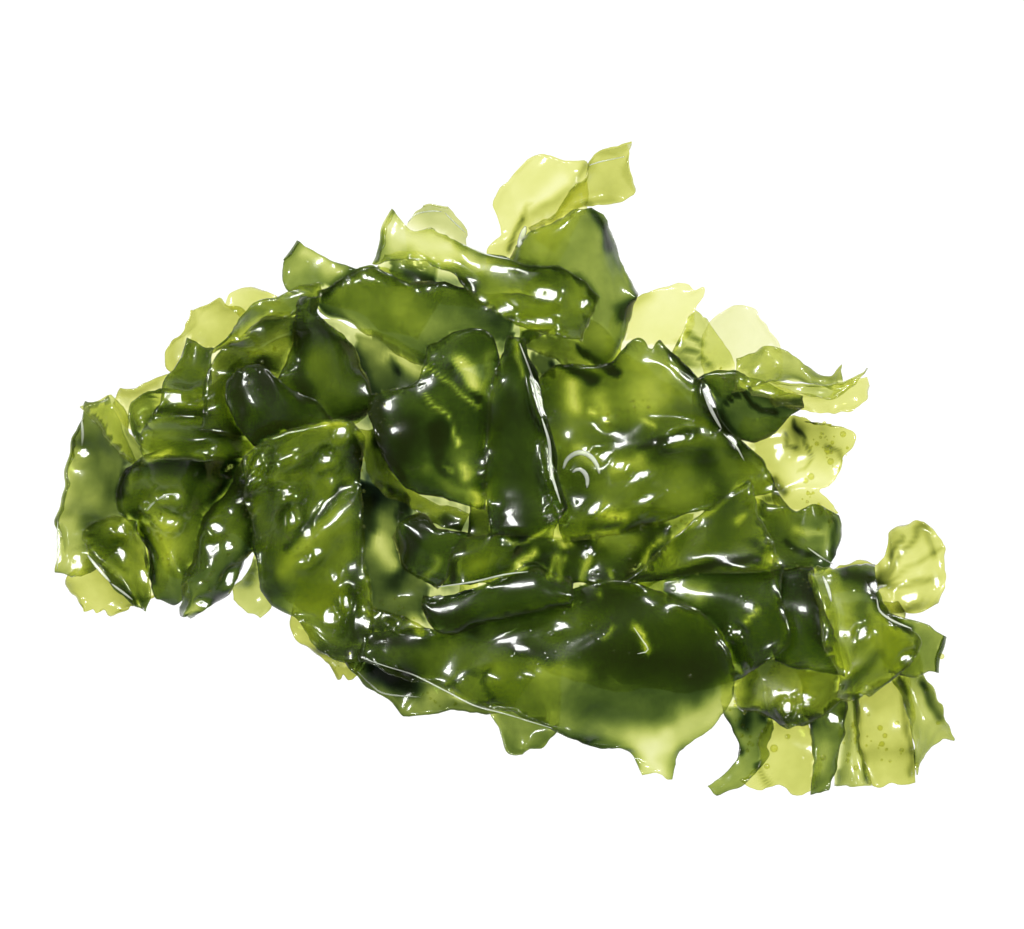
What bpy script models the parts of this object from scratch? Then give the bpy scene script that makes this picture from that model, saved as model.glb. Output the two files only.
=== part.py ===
"""A heap of wet sea lettuce: thin ruffled blades lying over one another, seen from above in the photograph.

X points to the photograph's right, Y to its top and Z up to the camera. All sizes below are millimetres.
Each blade is a closed sheet. It is drawn flat between its two long edges, given its own folds, and then
laid on the blades that are already there, so that no blade crosses another.
"""

import bpy
import numpy as np

MM = 0.001
SHEET = 0.6  # thickness of a blade
GAP = 0.3  # least air between two blades
GRID = 3.3  # wanted distance between the points of a blade
RELIEF = 1.75  # how strongly the blades are crumpled
TURN = 58.0  # most degrees between two points round a rolled edge
RASTER = 0.75  # cell of the height map that blades are laid on
HALF_X = 84.0  # the height map reaches this far to each side
HALF_Y = 63.0
SAMPLES = 1.7  # places tested in each cell along a blade
SPREAD = 0.6  # share of the grid distance that a lift spreads over
TRIES = 12  # most times a blade is lifted and tested again
CRUMPLE_LENGTH = 11.0  # distance between the crests of the crumples
WANDER = 0.7  # how far the outline wanders from the drawn edge
WAVE_LENGTH = 11.0  # length of one wave of a ruffled edge
RUFFLE = 0.6  # usual height of those waves
NOTCH_LENGTH = 4.0  # distance between the notches of a cut edge
NOTCH = 0.7  # depth of the notches
SCALLOP_MEAN = 0.6  # share of a scallop's depth that lies inside the drawn tip

TONES = {
    "pale": ((0.56, 0.60, 0.16), 0.22),
    "bright": ((0.36, 0.46, 0.05), 0.20),
    "mid": ((0.16, 0.25, 0.03), 0.18),
    "dark": ((0.06, 0.11, 0.015), 0.16),
}

FRONDS = []


def frond(name, tone, left, right, **shape):
    """Adds one blade. Its two long edges run from its start to its tip; the list goes from the table up."""
    FRONDS.append({"name": name, "tone": tone, "left": left, "right": right, **shape})


def draw_table_layer():
    """The blades that lie on the table, mostly hidden by the others."""
    frond(
        "under_sheet_left", "bright",
        [(-62, -11), (-54, -19), (-46, -11), (-38, -19), (-30, -26), (-16, -29), (-5, -27)],
        [(-59, 7), (-50, 14), (-40, 21), (-30, 25.3), (-20, 22.4), (-12, 18.6), (2, 13)],
        crumple=1.7,
    )
    frond(
        "under_sheet_right", "bright",
        [(-8, -25), (6, -33), (20, -37), (33, -35), (44, -31), (52, -29)],
        [(-3, 17), (5, 22.5), (14, 24.5), (22, 19), (33, 10), (42, 1), (50, -8)],
        crumple=1.7,
    )
    frond(
        "lobe_back_left_outer", "pale",
        [(-46, 13), (-51, 13.5), (-55.6, 15.6), (-56.5, 18.4), (-55.8, 20.4), (-54.2, 22),
         (-53.2, 25), (-51.6, 26.9)],
        [(-40, 20), (-42, 23.5), (-43.6, 26), (-45.6, 27.6), (-46.8, 28.4), (-47.4, 29.8),
         (-48.4, 28.2), (-50, 27.6)],
        lift=(0, 2, 3), cup=1.6, crumple=1.0, grid=2.4,
    )
    frond(
        "lobe_back_left_inner", "pale",
        [(-42, 21), (-44.6, 25.6), (-46.4, 28.2)],
        [(-33, 24), (-35.3, 27), (-37, 29)],
        lift=(0, 2, 2.5), bulge=(0, 1.9), scallops=(3, 0.9), ruffle=1.0, crumple=0.9, grid=2.4,
    )
    frond(
        "strip_left_rim", "pale",
        [(-49, 8), (-56, 7.5), (-60.4, 6.6), (-62.6, 7.2), (-64.9, 10.8)],
        [(-49, 17), (-56.4, 16.4), (-60, 14.3), (-62.2, 13.5), (-64.4, 13.3)],
        lift=(0, 2, 3), cup=1.4, crumple=1.0,
    )
    frond(
        "lobe_low_left", "pale",
        [(-66, -9), (-69.8, -14), (-72, -16.8), (-74.4, -18.4), (-72.8, -20), (-70.6, -22.8)],
        [(-55, -10), (-55.5, -16), (-56.4, -20.3), (-58.5, -22.2), (-61, -23), (-65, -23.2)],
        lift=(0, 1, 1), scallops=(3, 1.0), ruffle=0.8, crumple=0.9, grid=2.3,
        ridges=[((-69.2, -14), (-70, -22.6), 1.8, 1.2)],
    )
    frond(
        "lobe_small_yellow", "bright",
        [(-41, -9), (-41.2, -15.4), (-42.5, -17.6), (-44.9, -19.4), (-44.7, -21)],
        [(-35, -14), (-38, -19.6), (-38.6, -22), (-39, -23.4), (-40.8, -24.4)],
        bulge=(0, 0.7), cup=1.0, crumple=0.7, ruffle=0.8, grid=1.9,
    )
    frond(
        "frill_low_left", "pale",
        [(-35, -19), (-35.6, -26), (-32.4, -29.6), (-30.6, -31.4), (-28.6, -34.4)],
        [(-24, -20), (-22.8, -28), (-23.6, -31.6), (-24.2, -33.6), (-25.6, -35.2)],
        ruffle=1.2, crumple=1.0, scallops=(2, 0.8), grid=2.2,
    )
    frond(
        "sheet_front_under", "bright",
        [(-27, -31.6), (-24.4, -35), (-20, -38.3), (-16, -40.6), (-12, -40.4), (-7, -40.8), (1, -41)],
        [(-22, -24), (-18, -25), (-14, -26), (-9, -27), (-4, -28), (2, -29), (7, -31)],
        lift=(0, 0.5, 0), cup=1.2, crumple=1.0,
    )
    frond(
        "point_front_under", "mid",
        [(-4, -32), (-2.6, -39.5), (-0.6, -43.6), (0.4, -46.8), (2.6, -47.8)],
        [(10, -32), (8.8, -41.5), (7.6, -44.6), (6.4, -46.6), (4.4, -47)],
        lift=(0, 1, 2), cup=1.8, crumple=0.8, grid=2.2,
    )


def draw_tails():
    """The strips that hang out at the lower right."""
    frond(
        "tail_bent", "mid",
        [(34, -27), (35.6, -34), (36.8, -39), (38.4, -43.6), (39.4, -46.6), (38.4, -48.6), (36.4, -50.2),
         (34.3, -52.3)],
        [(42, -26), (42.6, -35), (44.9, -41.8), (43.5, -45), (43.3, -48.4), (41.9, -50.8), (39.2, -52.7),
         (35.9, -54.3)],
        lift=(2, 1, 0.5), cup=-1.2, crumple=0.8, ruffle=0.4, grid=2.4,
    )
    frond(
        "tail_pale_left", "pale",
        [(44, -23), (44, -33), (43.6, -42), (42.8, -48.6), (41.4, -51.4), (39.4, -52.8)],
        [(53, -24), (51.6, -33), (50.6, -41), (52.2, -48), (51.6, -53.4)],
        bulge=(0, 0.8), scallops=(2, 1.2), crumple=0.8, cup=0.6, grid=2.2,
    )
    frond(
        "tail_pale_right", "pale",
        [(56, -22), (57.6, -32), (58, -40), (59, -47), (60.8, -52.8)],
        [(66, -22), (67, -32), (67.6, -40), (68, -46.5), (68.6, -52.4)],
        bulge=(0, 0.4), scallops=(2, 0.8), crumple=0.8, cup=0.7, grid=2.4,
    )
    frond(
        "tail_olive", "bright",
        [(53, -24), (55, -33), (56, -40), (57, -44.4), (56.3, -48), (56, -52.4)],
        [(60, -25), (59, -34), (59.8, -42), (60.8, -48), (61.8, -52.2)],
        lift=(1, 1, 0), cup=-1.0, crumple=0.7, ruffle=0.4, grid=2.2,
    )
    frond(
        "tail_green", "mid",
        [(46.6, -25), (48.4, -35), (50, -41.6), (51.2, -46), (51.9, -49.6), (51.8, -53.8)],
        [(54.6, -26), (56, -35), (57.2, -42.6), (56.8, -46), (56, -50), (54.6, -53.6)],
        lift=(1.5, 1.5, 0.5), hems=(-95, -95), hem_radius=1.0, crumple=0.6, grid=2.6,
    )
    frond(
        "tail_far_right", "bright",
        [(60, -24), (63.5, -31), (65.8, -36.5), (67.4, -41.5), (68.2, -46), (68.7, -51.4)],
        [(66.4, -24), (69, -31), (70.6, -35.2), (73, -39.2), (74.2, -42.2), (75.3, -44.6)],
        lift=(1.5, 1.5, 0.5), bulge=(0, -1.9), cup=1.3, hems=(0, 110), hem_radius=0.9, crumple=0.8, grid=2.0,
    )


def draw_right_fringe():
    """The pale and green lobes along the right side."""
    frond(
        "sheet_thin_right", "pale",
        [(40, 9), (38.6, 5), (38.6, 0), (40, -7)],
        [(50, 8.8), (53, 8), (55, 8.4), (57, 7.3), (58.8, 4.8), (57.7, 3), (56.3, 1), (56.1, -0.6),
         (55, -2), (53.4, -3), (53.2, -4), (54.5, -5.4), (55.9, -7.4)],
        crumple=0.9, ruffle=0.6, grid=1.9,
    )
    frond(
        "lobe_yellow_right_top", "pale",
        [(16.5, 18), (18.4, 25.6), (22, 28.8), (26, 30.5), (30, 31.7)],
        [(26, 15), (29, 20.6), (31.6, 24), (32, 27), (34.5, 29)],
        lift=(0, 2, 4), bulge=(0, 0.8), scallops=(2, 0.9), crumple=1.0, grid=2.4,
    )
    frond(
        "strip_green_right_top", "bright",
        [(26, 13), (27.6, 18.5), (29.4, 22), (32.4, 27.2)],
        [(38.4, 12), (37.8, 17), (36.2, 21), (33.8, 25)],
        lift=(1, 2, 3), crumple=0.8,
        ridges=[((29, 22), (36, 15), 1.8, 1.6), ((31, 24), (37, 18), -1.4, 1.6)],
    )
    frond(
        "lobe_white_right_top", "pale",
        [(34, 13), (33.4, 18.5), (34.2, 24.2), (37, 26.7)],
        [(46, 13), (46.6, 19.6), (45.2, 23), (43.2, 25.6)],
        lift=(0, 3, 5), bulge=(0, 0.8), cup=1.2, crumple=1.0, grid=2.4,
    )
    frond(
        "lobe_dark_right", "mid",
        [(32, 5.5), (37, 5.4), (40.4, 4.6), (43.4, 5.4), (47, 8), (49.4, 11)],
        [(31, 14.8), (34, 15.8), (38, 15.8), (42, 15), (46, 13.6), (49.6, 12.6)],
        lift=(0, 1, 1), crumple=0.8, ruffle=0.5, ridges=[((37, 11), (44, 8), 1.2, 1.6)],
    )
    frond(
        "lobe_narrow_right", "bright",
        [(38, 13), (44, 14), (48, 14.4), (52, 13.8), (55, 14), (57, 14.9)],
        [(38, 18.8), (43.6, 20.2), (46.4, 20.4), (48.6, 19), (50.4, 16.9), (52.6, 16), (54.8, 16.6),
         (56.5, 18)],
        lift=(0, 2, 5), ruffle=1.0, crumple=0.8, grid=2.2,
    )
    frond(
        "lobe_pale_right_top", "pale",
        [(44, 10), (49, 10.8), (51.8, 9.9), (54.6, 9.2), (58, 10.2)],
        [(44, 13), (50, 12.6), (54.6, 13), (57.4, 14.8), (60, 15)],
        lift=(0, 1, 3), bulge=(0, 1.5), cup=1.0, crumple=0.7, grid=2.0,
    )
    frond(
        "lobe_rolled_right", "bright",
        [(41, 11.6), (45, 11.9), (48, 12.2), (51.6, 11.7), (55, 12.4), (57.8, 14)],
        [(41, 14.6), (46, 14.3), (50, 13.9), (53, 14.1), (56, 15), (60, 16)],
        lift=(1, 2, 4), hems=(0, 150), hem_radius=0.9, crumple=0.5, ruffle=0.3,
    )
    frond(
        "sheet_dark_right", "mid",
        [(33, -16), (40, -16.6), (47, -17.4), (52, -17.6), (55.4, -15.6)],
        [(34, -3), (40, -4.6), (44, -6.4), (46.6, -6), (50, -6.4), (52.4, -5.4), (54, -6.8), (55.6, -8.4)],
        lift=(0, 1.5, 2), scallops=(3, 0.8), crumple=1.2, grid=2.6,
        ridges=[((53.4, -7), (54, -16), 1.6, 1.2)],
    )


def draw_fan():
    """The pale fan and the lobes at the far right."""
    frond(
        "fan_right", "pale",
        [(54, -21), (59.6, -20.6), (64.3, -22.8), (67.5, -24.3), (70.8, -24.1), (73.6, -22.2)],
        [(54, -16.4), (60, -15.4), (62.4, -15.6), (63.9, -14), (64.6, -12), (65, -9.7), (67.2, -9.8),
         (68.4, -8.6), (71, -8)],
        lift=(2, 3, 4), bulge=(0, 1.5), scallops=(4, 1.3), ruffle=1.6, crumple=0.9, grid=1.8,
        ridges=[((62, -19.4), (73.6, -19.2), -1.8, 1.3), ((62.6, -18), (69.8, -9.6), 1.5, 1.3),
                ((63, -18.6), (73, -13.6), 1.2, 1.3)],
    )
    frond(
        "lobe_curled_far_right", "mid",
        [(63, -33.6), (67, -34), (70, -33.4), (72, -33.7)],
        [(63, -24), (67, -24.8), (70, -25.9), (74.1, -28.3)],
        lift=(1, 2, 3), roll=(150, 1.5), crumple=0.8,
    )
    frond(
        "lobe_front_right", "bright",
        [(41, -21), (39.6, -31), (37.8, -38.6), (41, -40.4), (44.6, -42.5)],
        [(55, -21), (56.6, -31), (57.8, -37), (54.4, -39.4), (50, -42.5)],
        lift=(0, 1.5, 2), bulge=(0, 0.5), cup=-0.9, crumple=0.7, ruffle=0.3,
    )
    frond(
        "sheet_dark_front_right", "dark",
        [(41, -17), (42.4, -23), (43.6, -28), (45, -32)],
        [(51.6, -16.4), (53.2, -23), (54.7, -28.5), (56.4, -34)],
        lift=(0, 1, 1), bulge=(0, 0.4), ruffle=0.8, crumple=1.0,
    )
    frond(
        "lobe_big_right", "mid",
        [(51.6, -15.6), (50, -18.2), (51.4, -22), (52.2, -26), (54, -30.4), (56, -34), (54.6, -38.2)],
        [(61.6, -15.7), (62.2, -21), (64.7, -24.9), (68, -26.9), (69.7, -29.5), (68.2, -32.2),
         (64.9, -35)],
        lift=(2, 3, 2), bulge=(0, 1.6), scallops=(4, 1.2), ruffle=1.0, crumple=0.6, hems=(0, 80),
        hem_radius=0.9, grid=2.8,
        ridges=[((58.6, -20), (57.6, -36), -1.6, 1.8), ((62, -22), (68, -27), 1.6, 1.5),
                ((54.4, -17), (55.4, -26), 1.5, 2.0)],
    )


def draw_top_fringe():
    """The lobes that stand out at the photograph's top."""
    frond(
        "lobe_pale_top", "pale",
        [(-2, 32), (-3, 36.6), (-1.4, 38.8), (-1.2, 40.4), (-1.9, 43), (-0.6, 46.5), (1, 48.7), (3, 50.2)],
        [(9, 33), (12, 40), (13.4, 46), (13.9, 50.6)],
        lift=(0, 3, 6), bulge=(0, 1.6), scallops=(3, 1.0), cup=1.6, crumple=1.1, grid=2.4,
        ridges=[((0.4, 36), (3.6, 44), 2.0, 1.2), ((3.6, 44), (7.8, 50.6), 2.0, 1.2)],
    )
    frond(
        "lobe_folded_top", "pale",
        [(3.6, 40), (8, 43), (11, 46), (13, 48.9), (14.2, 51.4), (15.9, 53.2), (18.4, 53.9), (20.6, 54.2)],
        [(8, 36), (10.6, 41.8), (13, 43.6), (16, 44.2), (19, 44.2), (21.2, 45.6), (20.9, 49), (20, 52)],
        lift=(1, 4, 8), cup=1.3, hems=(115, 0), hem_radius=1.0, crumple=0.9, ruffle=0.9, grid=2.2,
    )
    frond(
        "curl_clear_top", "pale",
        [(-17, 34), (-16, 39.5), (-15.6, 42), (-13.4, 43.6)],
        [(-5, 34), (-7, 39.4), (-8.5, 42.2), (-9.6, 43.6)],
        lift=(0, 2, 4), roll=(120, 1.3), crumple=0.7,
    )
    frond(
        "sheet_curled_upper_left", "mid",
        [(-14, 22), (-26, 26), (-33, 28.4), (-36.4, 30.4), (-36.2, 34.6)],
        [(-10, 30), (-20, 33.6), (-25, 33.9), (-30, 36.1), (-34.2, 38)],
        lift=(0, 3, 5), roll=(140, 1.5), crumple=1.2,
    )
    frond(
        "lobe_dark_under_ribbon", "mid",
        [(4, 26), (-6, 26.6), (-13, 28.6), (-18, 30.8), (-21.8, 33.4)],
        [(4, 32), (-5, 33.2), (-9, 35), (-14, 36.6), (-20, 36)],
        lift=(0, 2, 2), crumple=1.2, ruffle=1.0, ridges=[((-16, 33), (-8, 32.4), 1.6, 1.6)],
    )
    frond(
        "drape_top", "mid",
        [(3, 21), (8, 19), (12, 17), (16, 16.2), (18.8, 17), (19.6, 20.6), (19.9, 24.6), (21.7, 28.4)],
        [(0, 35), (3.4, 38.4), (6, 40.6), (10, 42), (13.6, 44), (16, 40.6), (18, 37), (20.2, 33),
         (22.2, 29.9)],
        lift=(1, 3, 2), cup=-1.5, crumple=1.2,
    )
    frond(
        "sheet_wide_upper", "mid",
        [(-31.2, 27.8), (-28, 25.2), (-24, 23), (-19, 20.2), (-15.4, 17.8), (-10, 16), (-4, 17.4),
         (2, 20), (7, 22.6)],
        [(-30.6, 29.2), (-28.2, 31.2), (-25.6, 33.2), (-22.3, 34.2), (-18, 31.6), (-12, 31), (-3, 30.2),
         (10, 27.6)],
        lift=(2, 3, 1), crumple=1.4, hems=(-100, 0), hem_radius=1.2,
        ridges=[((-27, 28.6), (-10, 27), 0.9, 2.4), ((-14, 23), (-4, 21), -0.9, 2.0)],
    )
    frond(
        "ribbon_top", "mid",
        [(15.2, 28.4), (13, 31.2), (10, 33.6), (7, 35.2), (3, 34.6), (0, 35), (-4, 36.7), (-7, 38.1),
         (-11, 39.4), (-15, 40.8), (-18.6, 43.4)],
        [(13, 21.5), (8, 22), (4, 23), (0, 24.6), (-4, 28), (-8, 32), (-12, 34.4), (-15, 35.3), (-18, 35),
         (-21.6, 33.8)],
        lift=(2, 3, 6), roll=(150, 1.6), hems=(105, 0), hem_radius=1.1, crumple=1.3, cup=1.0,
        ridges=[((1, 24.8), (10, 24.6), 1.2, 1.7), ((4, 30), (10, 28), 1.3, 2.8)],
    )


def draw_left_blades():
    """The overlapping blades at the left."""
    frond(
        "blade_far_left", "bright",
        [(-70.8, 11.2), (-71.9, 4.6), (-73.6, -3), (-75, -8.7), (-75.4, -13), (-75.2, -17.4)],
        [(-65.6, 11.4), (-61.5, 4), (-59.4, -3), (-60.4, -9), (-65.5, -14), (-71.2, -18)],
        lift=(4, 3, 1), hems=(150, 0), hem_radius=1.0, crumple=1.4, ruffle=0.8,
    )
    frond(
        "strip_folded_left", "bright",
        [(-70.5, 11), (-66.5, 6), (-63, 2.4), (-58.9, 0.2)],
        [(-66, 11.9), (-63, 7.8), (-60.4, 4.2), (-58.2, 0.9)],
        lift=(2, 2, 1), cup=-0.9, crumple=0.6, ruffle=0.3,
    )
    frond(
        "lobe_curled_left", "mid",
        [(-53, 13), (-58, 13.2), (-60.6, 12.2), (-61.7, 9.8), (-61.3, 7.2), (-59.8, 5), (-57.6, 2.6)],
        [(-50, 8), (-54, 7.6), (-57, 8.4), (-58.4, 8.4), (-58, 7.2), (-56, 5.6), (-54, 3.4)],
        lift=(1, 2, 3), cup=1.2, hems=(95, 0), hem_radius=0.9, crumple=0.8,
    )
    frond(
        "blade_mid_left", "mid",
        [(-42, 5), (-50, 4.4), (-57, 3.4), (-61.4, 1.4), (-63.9, -1.6), (-63.8, -5.6), (-61.4, -10),
         (-59.6, -16)],
        [(-39, -3), (-44.6, -7), (-48.4, -11), (-51, -15.6), (-52.5, -18.6), (-52.8, -20.6), (-54.4, -23),
         (-58, -21.2)],
        lift=(1, 2, 1), crumple=1.4, ruffle=0.9, hems=(80, 0), hem_radius=1.2,
        ridges=[((-58.5, -6.5), (-55, -4.4), 1.5, 1.6), ((-55, -4.4), (-51.5, -7), 1.5, 1.6),
                ((-56.5, -8.6), (-55.4, -8.9), 2.2, 2.2), ((-62, 0), (-46, -1.4), -1.5, 1.6)],
    )
    frond(
        "cup_low_left", "mid",
        [(-64.6, -8), (-68.4, -8.2), (-70.2, -10.4), (-70, -13), (-68.4, -15.4), (-65, -19),
         (-61.6, -22.2)],
        [(-61, -8.2), (-60, -11), (-59.4, -14), (-58.7, -17), (-58.4, -20), (-59.8, -22.9)],
        lift=(1, 1, 2), cup=2.0, crumple=0.9, hems=(115, 0), hem_radius=1.0, ruffle=0.4,
    )
    frond(
        "blade_upper_left", "mid",
        [(-60, 2), (-59.4, 7), (-57.4, 11), (-56.2, 15), (-54.5, 17), (-54, 19.8), (-52.7, 21.6)],
        [(-42, 2), (-44, 9), (-48.4, 14), (-48.6, 17.4), (-48, 20.4)],
        lift=(1, 2, 3), bulge=(0, -0.6), crumple=1.4, cup=1.0,
        ridges=[((-55.5, 11.6), (-50, 12.2), 1.8, 1.5), ((-49.6, 12.4), (-48.8, 17.4), 1.8, 1.4),
                ((-58, 9.6), (-50, 9.4), -1.5, 1.3)],
    )
    frond(
        "sheet_bubbly_left", "bright",
        [(-49.6, 6), (-49.2, 13), (-47.6, 18.6), (-43.4, 22.6), (-38, 25.6)],
        [(-32, 6), (-33.6, 14), (-33.4, 21), (-32, 26.6)],
        lift=(0, 1, 1), crumple=1.2, ruffle=0.7,
    )
    frond(
        "leaf_narrow_rimmed", "mid",
        [(-48.9, 19.2), (-46, 20.2), (-43, 22), (-40, 24), (-36.8, 25.7), (-34, 26.3), (-30.6, 27.6)],
        [(-48.5, 20.2), (-47.2, 21.8), (-45.6, 22.6), (-44.8, 24.6), (-43, 26.6), (-41, 28.2), (-37, 29),
         (-34, 30.3), (-31.1, 31.5)],
        lift=(0, 2, 4), hems=(125, 60), hem_radius=1.0, crumple=0.8, ruffle=0.4,
    )
    frond(
        "lobe_round_left", "mid",
        [(-34, 29), (-34.2, 24), (-34.8, 20), (-36.6, 16.6), (-38.8, 13), (-37, 8)],
        [(-30.8, 28.6), (-31, 24.6), (-28.4, 23.3), (-25.4, 21.2), (-23, 16.8), (-22, 12.6), (-23.2, 9),
         (-26.4, 6.8)],
        lift=(4, 3, 1), bulge=(0, 0.8), cup=-1.3, crumple=0.7, grid=2.8,
        ridges=[((-33, 28), (-34.5, 17), 1.6, 1.6), ((-36, 12), (-30, 10), 1.0, 2.4)],
    )
    frond(
        "sheet_dark_left", "dark",
        [(-42, 4.4), (-38.5, 4.4), (-35, 5.6), (-31, 7.4), (-28.4, 6.8)],
        [(-46, 11), (-45, 15.4), (-41.6, 17.8), (-38.4, 15.8), (-36, 13.4), (-32.2, 12.3), (-30.2, 9.2)],
        lift=(0, 1, 0), bulge=(0.8, 0), crumple=0.8, ruffle=0.3, grid=2.6,
        ridges=[((-43.4, 14), (-38.4, 8), 1.7, 1.4), ((-40.6, 15), (-36, 10), -1.2, 1.3)],
    )
    frond(
        "lobe_pointed_low_left", "mid",
        [(-43, 2), (-47, -4.6), (-50, -10.2), (-52.4, -14.6), (-53.3, -18), (-53, -21), (-53.3, -24)],
        [(-37, 1), (-38.6, -6), (-40.6, -12), (-43.4, -16.4), (-45.4, -19.6), (-47.8, -22.6), (-51, -24.9)],
        lift=(1, 3, 2), cup=-2.0, crumple=1.2, hems=(-80, 0), hem_radius=1.1,
    )
    frond(
        "drape_glossy_left", "mid",
        [(-43.8, 2), (-43, -4), (-42.2, -10), (-41.8, -15.4), (-39.4, -20.6), (-36.6, -24.4), (-33.4, -27),
         (-30.4, -31)],
        [(-25, 8.4), (-23.6, 4), (-23.6, -4), (-23, -12), (-22.6, -20), (-22.4, -26), (-24, -32)],
        lift=(2, 3, 1), bulge=(1.6, 0), crumple=1.7, hems=(-70, 0), hem_radius=1.2,
        ridges=[((-43, 0), (-41, 3), 1.8, 1.8), ((-36, 2.6), (-29.8, 1.4), 1.9, 1.7),
                ((-38, -3.6), (-34.4, -4), 1.6, 1.6), ((-27, -3), (-38, -16), -1.7, 1.5),
                ((-26.5, -7), (-34, -14), 1.8, 1.6), ((-28, -12), (-27, -26), -1.4, 1.7),
                ((-24.8, -14), (-26, -27), 1.5, 1.6)],
    )


def draw_centre():
    """The dark folded blades over the middle."""
    frond(
        "strip_hollow_pale", "bright",
        [(-24.4, 7), (-22.4, -0.6), (-19.4, -3.8), (-16.4, -6), (-12.6, -8.6), (-7, -10.4)],
        [(-21.4, 6), (-19.4, 2.6), (-17.4, -1), (-13.6, -4), (-9, -6), (-5, -7.6)],
        lift=(0, 1, 1), crumple=0.7, ruffle=0.3,
    )
    frond(
        "frond_dark_centre", "dark",
        [(-12.6, 20.4), (-15.2, 15), (-22.2, 12), (-22, 5.6), (-19.2, 1), (-16.4, -2.6)],
        [(-1.6, 22.2), (-0.6, 12), (-1.2, 4), (-2, -2), (-3.4, -6.8)],
        lift=(2, 3, 1), bulge=(2.0, 0.4), crumple=1.4,
        ridges=[((-13, 18), (-4.4, 10.6), 2.2, 1.3), ((-13.4, 14), (-9, 8.6), 1.7, 1.1),
                ((-9, 8.6), (-7.6, 4), 1.7, 1.1), ((-12, 0), (-5.4, -5.4), 1.7, 1.5)],
    )
    frond(
        "leaf_dark_hollow", "dark",
        [(-18.8, -10.6), (-17.6, -14.4), (-15.4, -17.6), (-11, -19.6)],
        [(-16.6, -7.4), (-12.8, -7.4), (-9.6, -10), (-4, -11.4)],
        lift=(0, 1, 1), cup=-1.2, crumple=0.8, ruffle=0.4,
    )
    frond(
        "fold_centre_low", "mid",
        [(-10, -19.6), (-4, -19.6), (3, -17.6), (8, -19), (14, -18.8), (22, -20), (29, -17)],
        [(-8, -11), (0, -10), (6, -9), (11, -8), (16, -7), (24, -6), (32, -8)],
        lift=(0, 2, 0), crumple=1.2,
        ridges=[((-1, -12), (9, -13), 1.7, 1.5), ((8.4, -12), (8.6, -19), 1.6, 1.5),
                ((18, -12), (24, -12), 1.4, 1.6)],
    )
    frond(
        "sheet_big_right", "mid",
        [(10, -12.4), (7.6, -5), (5.6, 4), (5, 12), (8, 16.6), (12, 17.4), (17.4, 17.6), (19.8, 21)],
        [(45.4, -4), (45, -1), (41, 3), (37.2, 6.6), (34.4, 11.6), (31.6, 16.6), (28.4, 20.4)],
        lift=(1, 3, 3), scallops=(2, 2.2), crumple=1.5, hems=(0, 125), hem_radius=1.2,
        ridges=[((11, 1), (12.6, 3.2), 1.9, 1.6), ((12.6, 3.2), (15.4, 0), 1.9, 1.6),
                ((11.4, -0.6), (13.8, -3), 1.8, 1.5), ((16, 3), (22, 2.6), 2.0, 1.9),
                ((20.8, -2), (24.6, 0.2), 1.8, 1.6), ((21.6, -7), (25, -5), 1.7, 1.5),
                ((13, -8), (16, -6.6), 1.6, 1.5), ((25, 4.2), (33, 6.6), 1.7, 1.8)],
    )
    frond(
        "blade_tall_centre", "dark",
        [(0, 22.4), (-2.3, 14), (-3.4, 4), (-3.2, -4), (-1.2, -11.4)],
        [(3, 21.6), (5.4, 15), (7.4, 7), (8.6, 0), (10.2, -6), (7.4, -11.6)],
        lift=(3, 4, 1), crumple=1.0, cup=1.4, hems=(0, 140), hem_radius=1.2, ruffle=0.3,
    )
    frond(
        "sheet_lower_right", "dark",
        [(13, -33), (22, -36), (30, -37), (38, -35), (44, -32), (47, -29)],
        [(12, -19), (18, -19.6), (25, -18.4), (31, -16.4), (37, -15.2), (46, -15.4)],
        lift=(0, 2, 1), crumple=1.4, ruffle=0.4,
    )
    frond(
        "sheet_pointed_right", "mid",
        [(19, -19), (23.6, -14.2), (30, -9.4), (39.4, -2.2)],
        [(46.4, -15.8), (44.2, -12), (42, -7.4), (40.6, -3)],
        lift=(0, 2, 2), crumple=1.2, ruffle=0.4, ridges=[((38, -8), (41, -7.6), 1.5, 1.5)],
    )
    frond(
        "sheet_front", "mid",
        [(-24.4, -31.2), (-17, -33.9), (-10, -37), (-5, -39.5), (0, -40.8), (8, -43.2), (15, -45.6),
         (20, -47), (22, -48.6), (22.5, -51.7)],
        [(-23, -27), (-14, -26.4), (-5, -25), (5, -21), (15, -18.6), (24, -19.4), (33.6, -25), (38.4, -33),
         (37.4, -39.6), (32.4, -44.6), (29, -47.2), (28.2, -51.7)],
        lift=(1, 2, 0), crumple=1.3, hems=(60, 0), hem_radius=1.2, ruffle=0.4,
        ridges=[((-8, -36), (-4, -31.8), 1.2, 1.4), ((-2, -38), (1, -33), 1.2, 1.5),
                ((2, -30), (13, -33), 1.5, 1.6), ((2, -34.6), (8, -34.4), 1.4, 1.8),
                ((8, -26.6), (11.4, -25), 1.5, 1.4), ((15, -29), (18.6, -26), 1.7, 1.5),
                ((22, -26), (24, -30.6), 1.9, 1.5)],
    )
    frond(
        "lobe_long_front_centre", "dark",
        [(12, -22.6), (3, -24.4), (-3, -26.2), (-7, -28.1), (-10.4, -27), (-13.8, -23.8)],
        [(12, -18), (6, -16.3), (2, -17), (-3, -19), (-8, -20.4), (-13.6, -21)],
        lift=(1, 2, 2), crumple=1.0, hems=(0, 100), hem_radius=1.2, cup=-1.0, ruffle=0.3,
    )


def noise(x, y, seed):
    """A smooth random field from -1 to 1 whose features are about one unit apart."""
    table = np.random.default_rng(seed).uniform(-1, 1, (64, 64))
    column = np.floor(x).astype(int)
    row = np.floor(y).astype(int)
    across = x - column
    along = y - row
    across = across * across * (3 - 2 * across)
    along = along * along * (3 - 2 * along)
    left, right = column % 64, (column + 1) % 64
    below, above = row % 64, (row + 1) % 64
    low = table[below, left] * (1 - across) + table[below, right] * across
    high = table[above, left] * (1 - across) + table[above, right] * across
    return low * (1 - along) + high * along


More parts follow.
